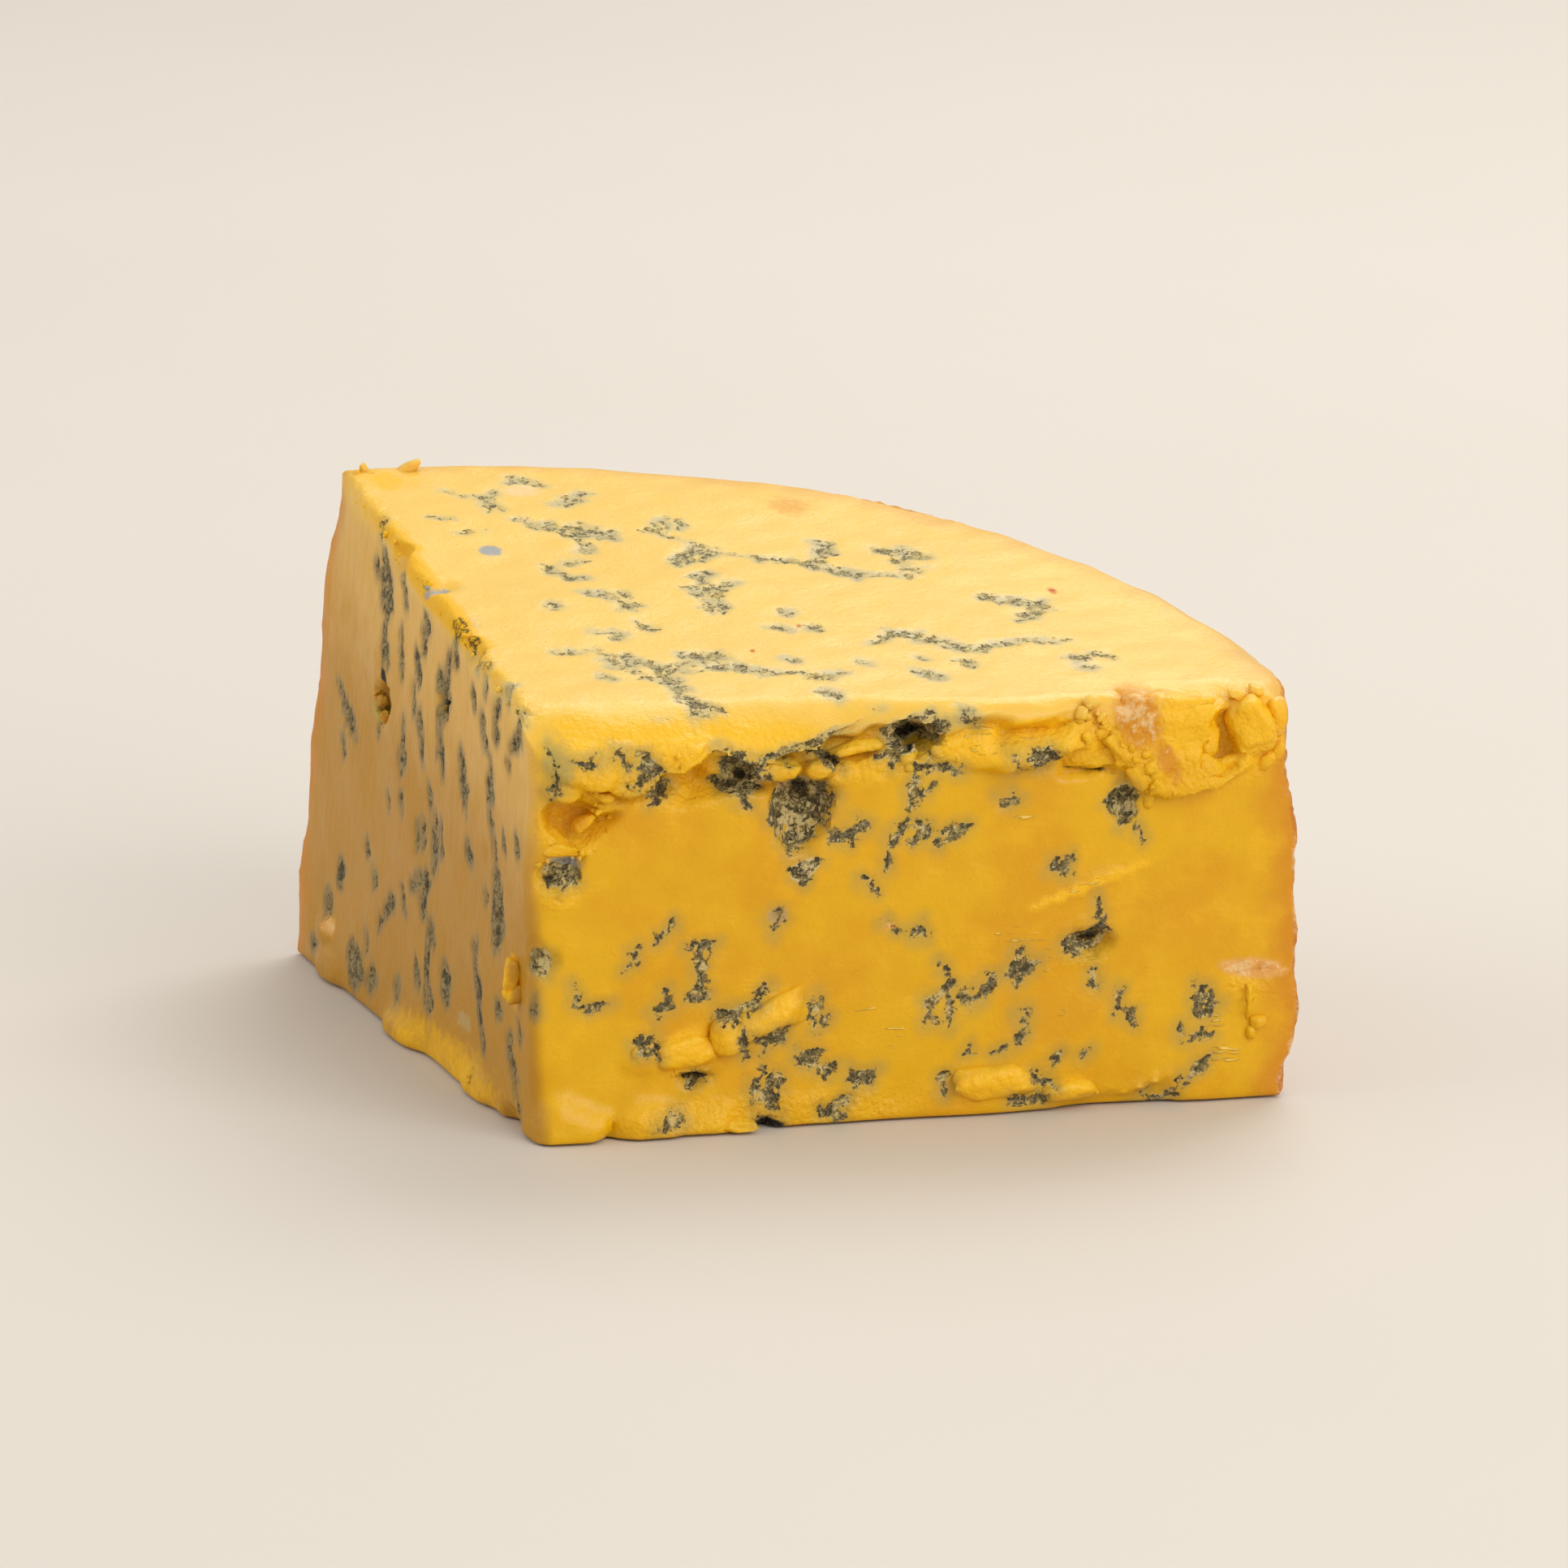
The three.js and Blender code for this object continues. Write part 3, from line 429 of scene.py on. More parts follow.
# Where the front cut is torn and crumbly instead of cut clean.
CRAGS = [
    (15, 48, 17, 6, -3), (42, 48.6, 20, 4.6, 2), (70, 49, 12, 4.4, 2), (87, 48.6, 15, 8.4, 0),
    (5, 42, 6, 5, 0), (3.6, 34, 4, 4.4, 0), (30, 2.4, 26, 3, 0), (72.6, 20.8, 3.6, 2, 0),
    (94.6, 16, 4, 3, 0),
]
# Where it is torn fresh: brighter, but smooth.
FRESH = [
    (28.9, 14.7, 7.2, 2.9, 35), (20.4, 11.6, 4.6, 3, 20), (60.2, 4.3, 6.4, 2.4, 8),
    (70.6, 3.2, 3.2, 1.3, 4), (86, 51, 6, 5, 0), (95, 49.4, 5.4, 6, 8), (63, 50, 12, 3, 4),
    (20, 52.6, 20, 4, -4), (73.4, 30.2, 10.4, 0.8, 18.5),
]

# Stains, crusts, and painted shadow in holes and hollows: face, middle, half sizes, turn, colour,
# strength.
TINTS = [
    ("front", 79, 52.2, 4.4, 6, 14, "crust", 1.4), ("front", 82.6, 46.6, 2.2, 4.8, 24, "crust", 1.1),
    ("top", 79, 2, 5, 6, 0, "crust", 0.8), ("front", 31.9, 28.3, 1.7, 1.5, 0, "rings", 1.5),
    ("top", 6.6, 63.4, 2, 2.6, 0, "needle", 1.3), ("left", 50.8, 61.4, 2, 1.8, 0, "needle", 1.4),
    ("top", -2.2, 50.4, 1.4, 2, 0, "needle", 1.2), ("top", 15, 86.8, 4, 4, 0, "frost", 1.2),
    ("front", 94.8, 17.8, 7, 2, -8, "seam", 1.5), ("front", 46.6, 26.2, 1.8, 0.8, -16, "seam", 1.1),
    ("top", 33.3, 22.3, 0.6, 1.1, 0, "red", 1.4), ("top", 41.6, 31.1, 0.6, 1, 0, "red", 1.3),
    ("top", 78.1, 40.7, 1.1, 1.5, 0, "red", 1), ("top", 50.3, 76.4, 5, 6, 0, "crust", 0.7),
    ("top", -2.6, 92, 5, 6, 0, "amber", 0.9), ("left", 50, 61.2, 48, 3, 7.5, "amber", 1.2),
    ("left", 7.4, 19.8, 3, 5, 0, "amber", 1.8), ("left", 72, 40.2, 3.4, 2.4, 0, "green", 1.5),
    ("left", 69, 44.8, 3, 1.6, 62, "hole", 1.3), ("left", 41.4, 47.8, 2, 1, 20, "hole", 1.2),
    ("left", 85.6, 7.4, 3.8, 2, 0, "seam", 1.1), ("left", 29, 8.6, 3.8, 1.6, 0, "rings", 1.1),
    ("left", 34, 2, 38, 6, 0, "amber", 0.8), ("front", 3.4, 49.8, 3.2, 4.8, 8, "green", 0.9),
    ("front", 21.4, 7.5, 1.6, 0.8, -8, "hole", 1.2), ("front", 31.2, 0.6, 2.2, 1, 0, "hole", 1.1),
    ("front", 50.2, 50.1, 2.6, 0.8, 16, "hole", 0.9), ("front", 27.8, 46.6, 1.1, 0.8, -20, "hole", 0.9),
    ("front", 35.4, 44.4, 1.6, 1.2, 0, "hole", 0.8), ("front", 72.8, 45.3, 5, 0.4, -9, "hole", 0.8),
    ("front", 73.8, 22.8, 2.4, 0.6, 12, "hole", 1.2), ("front", 4.6, 37, 3.2, 1, -8, "needle", 0.9),
    ("front", 2.6, 34.6, 1.4, 0.8, -20, "hole", 0.9), ("front", 6.2, 35.2, 0.8, 1.1, 0, "hole", 0.8),
    # Painted shade in the nose hollow under the lip.
    ("front", 4.6, 42.6, 5.6, 3.6, 0, "deep", 0.7),
]

# Colours


def colour(red, green, blue):
    """An sRGB colour of 0..255 as Blender's linear one."""
    parts = [part / 255 for part in (red, green, blue)]
    return tuple(c / 12.92 if c < 0.04045 else ((c + 0.055) / 1.055) ** 2.4 for c in parts) + (1.0,)


PASTE = colour(227, 173, 8)
PASTE_DEEP = colour(220, 159, 8)
# Painted sheen: the top face's paste is paler.
PASTE_TOP_SHEEN = colour(240, 196, 84)
# Painted light where the surface faces up.
PASTE_LIT = colour(248, 202, 64)
# Painted shade and sheen: the left cut is darker, and paler towards its top.
PASTE_LEFT_SHADED = colour(184, 130, 26)
PASTE_LEFT_SHEEN = colour(224, 176, 84)
PASTE_TORN = colour(245, 188, 22)
PASTE_PALE = colour(248, 212, 104)
PASTE_BY_RIND = colour(206, 130, 22)
HALO = colour(186, 154, 66)
HALO_LEFT = colour(170, 136, 64)
HALO_TOP = colour(214, 194, 120)
SMEAR = colour(104, 92, 66)
SMOKE = colour(148, 146, 124)
MOULD_BLACK = colour(41, 37, 26)
MOULD_SLATE = colour(101, 94, 71)
MOULD_GREEN = colour(156, 141, 90)
MOULD_PALE = colour(220, 202, 148)
RIND_BROWN = colour(210, 142, 46)
RIND_DARK = colour(190, 118, 36)
RIND_BLOOM = colour(230, 198, 150)
FROST = colour(240, 206, 146)
STAIN_AND_SHADE_COLOURS = {
    "crust": colour(216, 144, 24),
    "frost": colour(234, 194, 130),
    "rings": colour(188, 156, 96),
    "needle": colour(158, 158, 152),
    "seam": colour(226, 164, 82),
    "red": colour(190, 90, 30),
    "amber": colour(238, 180, 22),
    # Painted shade: darker orange in the nose hollow under the lip.
    "deep": colour(214, 148, 10),
    "green": colour(184, 158, 78),
    # Near-black painted shadow in holes, cracks and slots.
    "hole": colour(22, 18, 10),
}
STAIN_SOFT = 0.8
STAIN_REACH = 3
CRISP_STAINS_AND_SHADOW = ("needle", "hole", "rings")
CRISP_SOFT = 0.55
# The painted shadow of holes, the painted shade of the hollow and the green mould reach deeper.
DEEP_STAINS_AND_SHADE = ("hole", "deep", "green")
DEEP_REACH = 5
SALTY_STAINS = ("crust", "seam", "frost")
FLOOR_LIGHT = colour(218, 210, 198)
FLOOR_DARK = colour(212, 203, 190)

# Depths behind the faces, in mm, between which what shows on them fades away.
FRONT_FADE = (2, 6)
LEFT_FADE = (1.5, 4)
LEFT_SKIN = (0.2, 2)
TOP_FADE = (0.4, 5)
EDGE_FADES = [(0.5, 3.5), (0.5, 3)]  # top, left
DEEPEST = {"top": 60, "rind": 30}  # no more is told than this

# What the mesh tells the material at each point, and the material's noises:
# size in mm, detail, roughness, and how the drawn ones are stretched.
FIELDS = [
    "mould", "vein", "wide", "fluff", "crag", "fresh",
    "left", "top", "rind", "below", "scratch", "salt",
]
NOISES = {
    "cloud": (16, 3, 0.55),
    "patch": (4.5, 4, 0.55),
    "grain": (1.3, 4, 0.6),
    "speck": (0.5, 3, 0.6),
    "drag": (1.3, 4, 0.6, (1, 1, 0.12)),  # upright, as the knife went
    "scrape": (0.7, 3, 0.6, (0.12, 1, 1)),
    "score": (0.6, 2, 0.5, (0.16, 1, 1)),
    "gaps": (2.2, 2, 0.5),
    "threads": (1.6, 2, 0.5),
    "bloom": (7, 5, 0.65),
    "moist": (0.6, 2, 0.5),
}
CRUMB_SIZE = 0.9

# Fine relief of the mesh: crumb sizes, how deep mould sinks, how high crumbs and
# waves stand on torn places, in fluff and on the rind, in mm, and the waves' length.
COARSE_CRUMB = 3.2
FINE_CRUMB = 1.6
MOULD_SUNK = 0.3
FLUFF_RISE = 0.5
TORN_RISE = (0.2, 0.08, 0.25, 5)
RIND_RISE = (0.25, 0.16, 0.12, 4.3)
CUT_WAVE = (0.05, 6)

# Small mathematics on whole arrays of points


def fade(start, end, value):
    """1 before start, 0 after end, smooth between."""
    k = np.clip((value - start) / (end - start), 0, 1)
    return 1 - k * k * (3 - 2 * k)


def mix(a, b, k):
    return a + (b - a) * k


def waves(x, y, z, size):
    """Seven crossing sine waves about `size` long, mostly between -1 and 1."""
    total = 0
    for i in range(1, 8):
        turn = 2.4 * i
        lift = 0.5 * math.sin(1.7 * i)
        flat = x * (math.cos(turn) * math.cos(lift)) + y * (math.sin(turn) * math.cos(lift))
        along = flat + z * math.sin(1.9 * i)
        total = total + np.sin((2 * math.pi / size) * (0.7 + 0.6 * ((0.618 * i) % 1)) * along + 4.1 * i)
    return total / 3


def wavered(value, wave, x, y, z):
    """The value with waves on it: wave is how far, and how long."""
    return value + wave[0] * waves(x, y, z, wave[1])


def hashed(cells, salt):
    """Three repeatable numbers from 0 to 1 for each cell of a grid."""
    keys = np.array([[127.1, 311.7, 74.7], [269.5, 183.3, 246.1], [113.5, 271.9, 124.6]])
    return np.abs(np.sin(cells @ keys.T + salt) * 43758.5453) % 1


def crumbs(points, size, salt):
    """Rounded crumbs about `size` across: 0 in the cracks, nearly 1 on top."""
    scaled = points / size
    base = np.floor(scaled)
    first = np.full(len(points), 9.0)
    second = first.copy()
    for step in itertools.product((-1, 0, 1), repeat=3):
        cell = base + step
        far = np.linalg.norm(scaled - cell - hashed(cell, salt), axis=1)
        second = np.minimum(second, np.maximum(first, far))
        first = np.minimum(first, far)
    return 1 - (1 - np.clip(2 * (second - first), 0, 1)) ** 2


def oval(u, v, middle_u, middle_v, half_u, half_v, turn):
    """How far each place is from an oval's middle: 1 on its outline."""
    c, s = math.cos(math.radians(turn)), math.sin(math.radians(turn))
    du, dv = u - middle_u, v - middle_v
    return np.hypot((du * c + dv * s) / half_u, (dv * c - du * s) / half_v)


def spots(ovals, u, v, soft=0.5):
    """1 inside any of the ovals, 0 outside them all, with soft edges."""
    most = np.zeros_like(u)
    for shape in ovals:
        most = np.maximum(most, fade(1 - soft, 1, oval(u, v, *shape)))
    return most


# The form of the wedge


def top_height(x, y):
    return POINT_HEIGHT + TOP_RISE_X * x + TOP_RISE_Y * y


def left_turn(up):
    """The left cut's turn from the front one: up is 0 at the foot, 1 at the top."""
    return np.radians(mix(FOOT_ANGLE, TOP_ANGLE, up))


def grid_lines(count, density):
    """Places 0..1, closer together where `density` is larger."""
    steps = 2000
    middles = (np.arange(steps) + 0.5) / steps
    sums = np.concatenate([[0], np.cumsum(density(middles))])
    return np.interp(np.linspace(0, sums[-1], count + 1), sums, np.linspace(0, 1, steps + 1))


def sector(along, back, up):
    """A point in plan: along and back run 0..1 from the wedge's point along its cuts."""
    half = math.radians(FOOT_ANGLE / 2)

    def arc(angle):
        return RADIUS * np.array([np.cos(angle), np.sin(angle)])

    rinds = along * arc(back * half) + back * arc(mix(left_turn(up), half, along))
    return rinds - along * back * arc(np.full_like(along, half))


def rim_lift(x, y):
    """The underside's rim stands just clear of what the wedge lies on."""
    inset = FEET_INSET / RADIUS
    ends = np.array([inset, 1 - inset, 1 - inset, inset])
    feet = sector(ends, np.array([inset, inset, 1 - inset, 1 - inset]), np.zeros(4)).T
    inside = np.full_like(x, RADIUS)
    for (ax, ay), (bx, by) in zip(feet, np.roll(feet, -1, axis=0)):
        side = ((bx - ax) * (y - ay) - (by - ay) * (x - ax)) / math.hypot(bx - ax, by - ay)
        inside = np.minimum(inside, side)
    return RIM_LIFT * fade(0, RIM_WIDTH, inside)


def soften(a, b, radius):
    """Distances from two faces that meet in an edge, moved in to a round edge."""
    near = (a < radius) & (b < radius)
    reach = np.where(near, np.hypot(radius - a, radius - b), radius)
    scale = radius / np.maximum(reach, radius)
    return (
        np.where(near, radius - (radius - a) * scale, a),
        np.where(near, radius - (radius - b) * scale, b),
    )


def soften_far(a, b, radius):
    """The same round edge, for the faces across the wedge."""
    far, near = soften(RADIUS - a, b, radius)
    return np.where(a > RADIUS / 2, RADIUS - far, a), np.where(a > RADIUS / 2, near, b)


def plain_points(along, back, up):
    """The wedge with plain faces and round edges."""
    from_left, from_front = soften(along * RADIUS, back * RADIUS, ROUND["point"])
    from_left, from_front = soften_far(from_left, from_front, ROUND["corner"])
    from_front, from_left = soften_far(from_front, from_left, ROUND["corner"])
    high = top_height(*sector(from_left / RADIUS, from_front / RADIUS, up))
    drop = high * (1 - up)
    rise = high * up
    roll = mix(ROUND["cut"], ROUND["bevel"], fade(*BEVEL_END, from_left))
    roll = mix(roll, ROUND["roll"], fade(*ROLL_END, from_left))
    rim = mix(ROUND["rim"], ROUND["worn_rim"], fade(0, WORN_END, from_front))
    from_front, drop = soften(from_front, drop, roll)
    from_front, rise = soften(from_front, rise, ROUND["foot"])
    from_left, drop = soften(from_left, drop, ROUND["cut"])
    from_left, rise = soften(from_left, rise, ROUND["foot"])
    right, drop = soften(RADIUS - from_left, drop, rim)
    right, rise = soften(right, rise, ROUND["heel"])
    rear, drop = soften(RADIUS - from_front, drop, rim)
    rear, rise = soften(rear, rise, ROUND["heel"])
    x, y = sector(1 - right / RADIUS, 1 - rear / RADIUS, up)
    z = np.where(up > 0.5, high - drop, np.maximum(rise, rim_lift(x, y)))
    return np.stack([x, y, z], axis=1)


def relief(rows, u, v):
    """How far a face's relief stands out at each place, and how far it droops."""
    out = np.zeros_like(u)
    droop = np.zeros_like(u)
    for *shape, height, flat, sag in rows:
        step = height * fade(flat, 1, oval(u, v, *shape))
        out += step
        droop += sag * step
    return out, droop


def faces_of(points):
    """For each face: the two coordinates on it, and the depth behind it."""
    x, y, z = points.T
    turn = left_turn(z / top_height(x, y))
    return {
        "front": (x, z, y),
        "left": (x * np.cos(turn) + y * np.sin(turn), z, x * np.sin(turn) - y * np.cos(turn)),
        "top": (x, y, top_height(x, y) - z),
        "rind": (RADIUS * np.arctan2(y, x), z, RADIUS - np.hypot(x, y)),
        "under": (x, y, z),
    }


def above(edge, x, z):
    """1 over a torn layer's ragged lower edge, 0 under it."""
    line = wavered(np.interp(x, *zip(*edge)), EDGE_WAVE, x, 0, 0)
    return 1 - fade(-EDGE_STEP, EDGE_STEP, z - line)


def front_relief(x, z):
    """The front cut's relief and droop, with ragged outlines."""
    u = wavered(wavered(x, RAGGED_ALONG[0], x, 3, z), RAGGED_ALONG[1], x, 7, z)
    v = wavered(wavered(z, RAGGED_UP[0], x, 11, z), RAGGED_UP[1], x, 5, z)
    lip = above(LIP_EDGE, x, z)
    torn = above(TORN_EDGE, x, z)
    parts = [(lip, LIP_RELIEF), (1 - lip, SHADE_RELIEF), (torn, TORN_RELIEF), (1, FRONT_RELIEF)]
    reliefs = [(share, relief(rows, u, v)) for share, rows in parts]
    return [sum(share * pair[i] for share, pair in reliefs) for i in (0, 1)]


def face_reliefs(points):
    """What each face's relief stands out, before it fades with depth."""
    x, y, z = points.T
    faces = faces_of(points)
    front, droop = front_relief(x, z)
    left = relief(LEFT_RELIEF, *faces["left"][:2])[0]
    top = relief(TOP_RELIEF, x, y)[0]
    rind = relief(RIND_RELIEF, *faces["rind"][:2])[0]
    belly = RIND_BULGE * np.sin(math.pi * np.clip(z / RIND_HEIGHT, 0, 1))
    return {
        "front": wavered(front, FRONT_WAVE, x, 0, z),
        "droop": droop,
        "left": wavered(left, LEFT_WAVE, 0, y, z),
        "top": wavered(top, TOP_WAVE, x, y, 0),
        "rind": wavered(wavered(rind + belly, RIND_WAVES[0], x, y, z), RIND_WAVES[1], x, y, z),
    }


def crumbly_points(points):
    """The wedge with the relief of its four faces."""
    x, y, z = points.T
    angle = np.arctan2(y, x)
    turn = left_turn(z / top_height(x, y))
    faces = faces_of(points)
    out = face_reliefs(points)
    share = {name: fade(1, reach, faces[name][2]) for name, reach in RELIEF_REACH.items()}
    front, left, top, rind = (share[name] * out[name] for name in ("front", "left", "top", "rind"))
    return np.stack(
        [
            x - left * np.sin(turn) + rind * np.cos(angle),
            y + left * np.cos(turn) + rind * np.sin(angle) - front,
            z + top - share["front"] * out["droop"],
        ],
        axis=1,
    )


# Strokes of mould


def wander(rng, start, end, width, sway, twigs):
    """One ragged stroke as rows of x0, y0, x1, y1 and the half widths there."""
    length = math.dist(start, end)
    count = max(3, round(length / STEP))
    t = np.linspace(0, 1, count + 1)
    side = np.array([start[1] - end[1], end[0] - start[0]]) / length
    drift = np.cumsum(rng.normal(0, sway, count + 1))
    drift -= mix(drift[0], drift[-1], t)
    path = start + np.outer(t, end - start) + np.outer(drift, side)
    taper = STROKE_END + (1 - STROKE_END) * np.sin(math.pi * t) ** 0.5
    wide = width * rng.uniform(*STROKE_WIDTHS, count + 1) * taper
    rows = [(*path[i], *path[i + 1], wide[i], wide[i + 1]) for i in range(count)]
    for i in range(1, count):
        if rng.random() < twigs:
            turn = rng.uniform(0, 2 * math.pi)
            tip = path[i] + rng.uniform(*TWIG_LENGTHS) * np.array([math.cos(turn), math.sin(turn)])
            rows.append((*path[i], *tip, TWIG_WIDTH * wide[i], TWIG_TIP))
    return rows


def strokes(marks, seed, sway=0.2, twigs=0.5, scatter=0.5):
    """Every mark's strokes: two or fewer keep to its line, more cross each other."""
    rng = np.random.default_rng(seed)
    rows = []
    for u, v, half, spread, turn, count, width in marks:
        lean = math.radians(turn)
        for _ in range(count):
            crossing = lean + (rng.normal(0, scatter) if count > 2 else 0)
            reach = half * (rng.uniform(*CROSSING_REACH) if count > 2 else 1)
            shift = rng.uniform(-1, 1, 2) * (half - reach, spread)
            middle = np.array([u, v]) + (
                shift[0] * math.cos(lean) - shift[1] * math.sin(lean),
                shift[0] * math.sin(lean) + shift[1] * math.cos(lean),
            )
            arm = reach * np.array([math.cos(crossing), math.sin(crossing)])
            rows += wander(rng, middle - arm, middle + arm, width, sway, twigs)
    return np.array(rows)


def underside_marks(seed):
    """Marks by a seeded draw, inside the sector."""
    rng = np.random.default_rng(seed)
    marks = []
    while len(marks) < UNDERSIDE_MARKS:
        x, y = rng.uniform(-10, UNDERSIDE_REACH, 2)
        if 4 < math.hypot(x, y) < UNDERSIDE_REACH and y > 3 and x > 3 - 0.14 * y:
            half = rng.uniform(1, 4)
            turn = rng.uniform(0, 180)
            marks.append((x, y, half, 0.3 * half, turn, rng.integers(1, 7), UNDERSIDE_WIDTH))
    return marks


def mould_distance(u, v, rows):
    """How far each place is from the nearest stroke's middle, less than 0 on its
    left side, and that stroke's half width there."""
    best = np.full(u.shape, FAR)
    side = np.full(u.shape, FAR)
    wide = np.zeros_like(u)
    for x0, y0, x1, y1, w0, w1 in rows:
        near = np.flatnonzero(
            (u > min(x0, x1) - FAR) & (u < max(x0, x1) + FAR)
            & (v > min(y0, y1) - FAR) & (v < max(y0, y1) + FAR)
        )
        dx, dy = x1 - x0, y1 - y0
        du, dv = u[near] - x0, v[near] - y0
        t = np.clip((du * dx + dv * dy) / max(dx * dx + dy * dy, 1e-9), 0, 1)
        far = np.hypot(du - t * dx, dv - t * dy)
        closer = far < best[near]
        won = near[closer]
        best[won] = far[closer]
        side[won] = far[closer] * np.sign(dv * dx - du * dy)[closer]
        wide[won] = mix(w0, w1, t)[closer]
    return side, wide


# What the surface is made of at each place


def mould_fields(faces, depth):
    """How far each point is from the mould's edge and from a stroke's middle, and
    how wide that stroke is."""
    threads = [
        (u, v, half, THREAD_SPREAD, lean, 1, THREAD_WIDTH) for u, v, half, lean in TOP_THREADS
    ]
    rows = {
        "front": strokes(FRONT_MOULD_AND_SHADOW_LINES, SEED),
        "left": strokes(LEFT_MOULD, SEED + 1, sway=0.16, twigs=0.08, scatter=0.1),
        "top": strokes(TOP_MOULD + threads, SEED + 2, sway=0.4, twigs=0.5, scatter=0.35),
        "under": strokes(underside_marks(SEED + 3), SEED + 4),
    }
    mould = np.full(len(depth["top"]), FAR)
    vein = mould.copy()
    wide = np.zeros_like(mould)
    for name in rows:
        u, v, _ = faces[name]
        near = np.flatnonzero(depth[name] < MOULD_REACH)
        side, width = mould_distance(u[near], v[near], rows[name])
        far = np.abs(side) - width + np.maximum(depth[name][near] - MOULD_DEPTH, 0)
        nearer = far < mould[near]
        won = near[nearer]
        mould[won], vein[won], wide[won] = far[nearer], side[nearer], width[nearer]
    return mould, vein, wide


def tint_fields(faces, depth):
    """A colour for each point, with its strength as the fourth channel, and how
    much salt frosts it."""
    tint = np.tile([*PASTE[:3], 0.0], (len(depth["top"]), 1))
    salt = np.zeros(len(tint))
    for face, *shape, name, strength in TINTS:
        u, v, _ = faces[face]
        soft = CRISP_SOFT if name in CRISP_STAINS_AND_SHADOW else STAIN_SOFT
        reach = DEEP_REACH if name in DEEP_STAINS_AND_SHADE else STAIN_REACH
        share = strength * fade(reach - 2, reach, depth[face])
        share = share * spots([shape], u, v, soft)
        tint[:, :3] = mix(tint[:, :3], STAIN_AND_SHADE_COLOURS[name][:3], (share > tint[:, 3])[:, None])
        tint[:, 3] = np.maximum(tint[:, 3], share)
        if name in SALTY_STAINS:
            salt = np.maximum(salt, share)
    return tint, salt


def surface_fields(points):
    """Arrays over the points, by name: what the surface is there, and how near
    the faces are."""
    faces = faces_of(points)
    out = face_reliefs(points)
    depth = {name: np.maximum(faces[name][2] + out.get(name, 0), 0) for name in faces}
    front = faces["front"][:2]
    at_front = fade(*FRONT_FADE, depth["front"])
    at_left = fade(*LEFT_FADE, depth["left"])
    crag = at_front * spots(CRAGS, *front, 0.4)
    edge = fade(*EDGE_FADES[0], depth["top"]) * fade(*EDGE_FADES[1], depth["left"])
    fluff = at_front * spots(FRONT_FLUFF, *front)
    on_top = fade(*TOP_FADE, depth["top"])
    mould, vein, wide = mould_fields(faces, depth)
    tint, salt = tint_fields(faces, depth)
    return {
        "mould": mould,
        "vein": vein,
        "scratch": at_front * spots(FRONT_SCRATCHES, *front, 0.6),
        "wide": wide,
        "below": np.minimum(depth["top"], DEEPEST["top"]),
        "fluff": np.maximum(fluff, at_left * spots(LEFT_FLUFF, *faces["left"][:2])),
        "crag": np.maximum(crag, 0.7 * edge),
        "left": fade(*LEFT_SKIN, depth["left"]) * (1 - 0.8 * on_top),
        "top": on_top,
        "fresh": at_front * spots(FRESH, *front, 0.3),
        "rind": np.minimum(depth["rind"], DEEPEST["rind"]),
        "tint": tint,
        "salt": salt,
    }


# Meshes


def new_object(name, points, faces):
    mesh = bpy.data.meshes.new(name)
    mesh.from_pydata(((points - ORIGIN) * MM).tolist(), [], faces)
    mesh.validate()
    piece = bpy.data.objects.new(name, mesh)
    bpy.context.collection.objects.link(piece)
    return piece


def box_shell(lines):
    """The outer points of a box grid with shared corners, and its quads."""
    outer = np.ones([len(line) for line in lines], bool)
    outer[1:-1, 1:-1, 1:-1] = False
    number = np.full(outer.shape, -1)
    number[outer] = np.arange(outer.sum())
    places = [line[i] for line, i in zip(lines, np.nonzero(outer))]
    quads = []
    for axis, side in itertools.product(range(3), (0, -1)):
        sheet = np.take(number, side, axis=axis)
        ring = [sheet[:-1, :-1], sheet[1:, :-1], sheet[1:, 1:], sheet[:-1, 1:]]
        if (side == 0) != (axis == 1):
            ring.reverse()
        quads += np.stack(ring, axis=-1).reshape(-1, 4).tolist()
    return places, quads


def wedge_body():
    """The wedge on a grid that is denser at its edges and below the lip."""
    lines = (
        grid_lines(GRID["along"], lambda u: 1 + 2 * np.exp(-u / 0.02) + 2.5 * np.exp((u - 1) / 0.02)),
        grid_lines(GRID["back"], lambda u: 1 + 4 * np.exp(-u / 0.05) + 2 * np.exp((u - 1) / 0.03)),
        grid_lines(GRID["up"], lambda u: 1 + 1.5 * np.exp(-u / 0.02) + 0.8 * fade(0.2, 0.36, 1 - u)),
    )
    places, quads = box_shell(lines)
    return new_object("cheese", crumbly_points(plain_points(*places)), quads)


def lump(at, size, turn, crisp, least=6):
    """A box of points blown up to a lump with flat facets, in a seeded draw."""
    rng = np.random.default_rng(round(1000 * (at[0] + at[2])))
    lines = [np.linspace(-1, 1, max(least, round(2 * half / LUMP_CELL)) + 1) for half in size]
    places, quads = box_shell(lines)
    rays = np.stack(places, axis=1)
    rays /= np.linalg.norm(rays, axis=1)[:, None]
    normals = rng.normal(size=(FACETS, 3))
    normals /= np.linalg.norm(normals, axis=1)[:, None] * rng.uniform(*FACET_REACH, FACETS)[:, None]
    normals = np.concatenate([normals, np.eye(3), -np.eye(3)])
    reach = (np.maximum(rays @ normals.T, 0) ** crisp).sum(axis=1) ** (1 / crisp)
    x, y, z = (rays / reach[:, None] * size).T
    swell = 1 + 0.03 * waves(x + at[0], y, z + at[2], 5) + 0.03 * waves(x, y + at[2], z + at[0], 2)
    c, s = math.cos(math.radians(turn)), math.sin(math.radians(turn))
    turned = np.stack([swell * (x * c - z * s), swell * y, swell * (x * s + z * c)], axis=1)
    return new_object("lump", turned + at, quads)


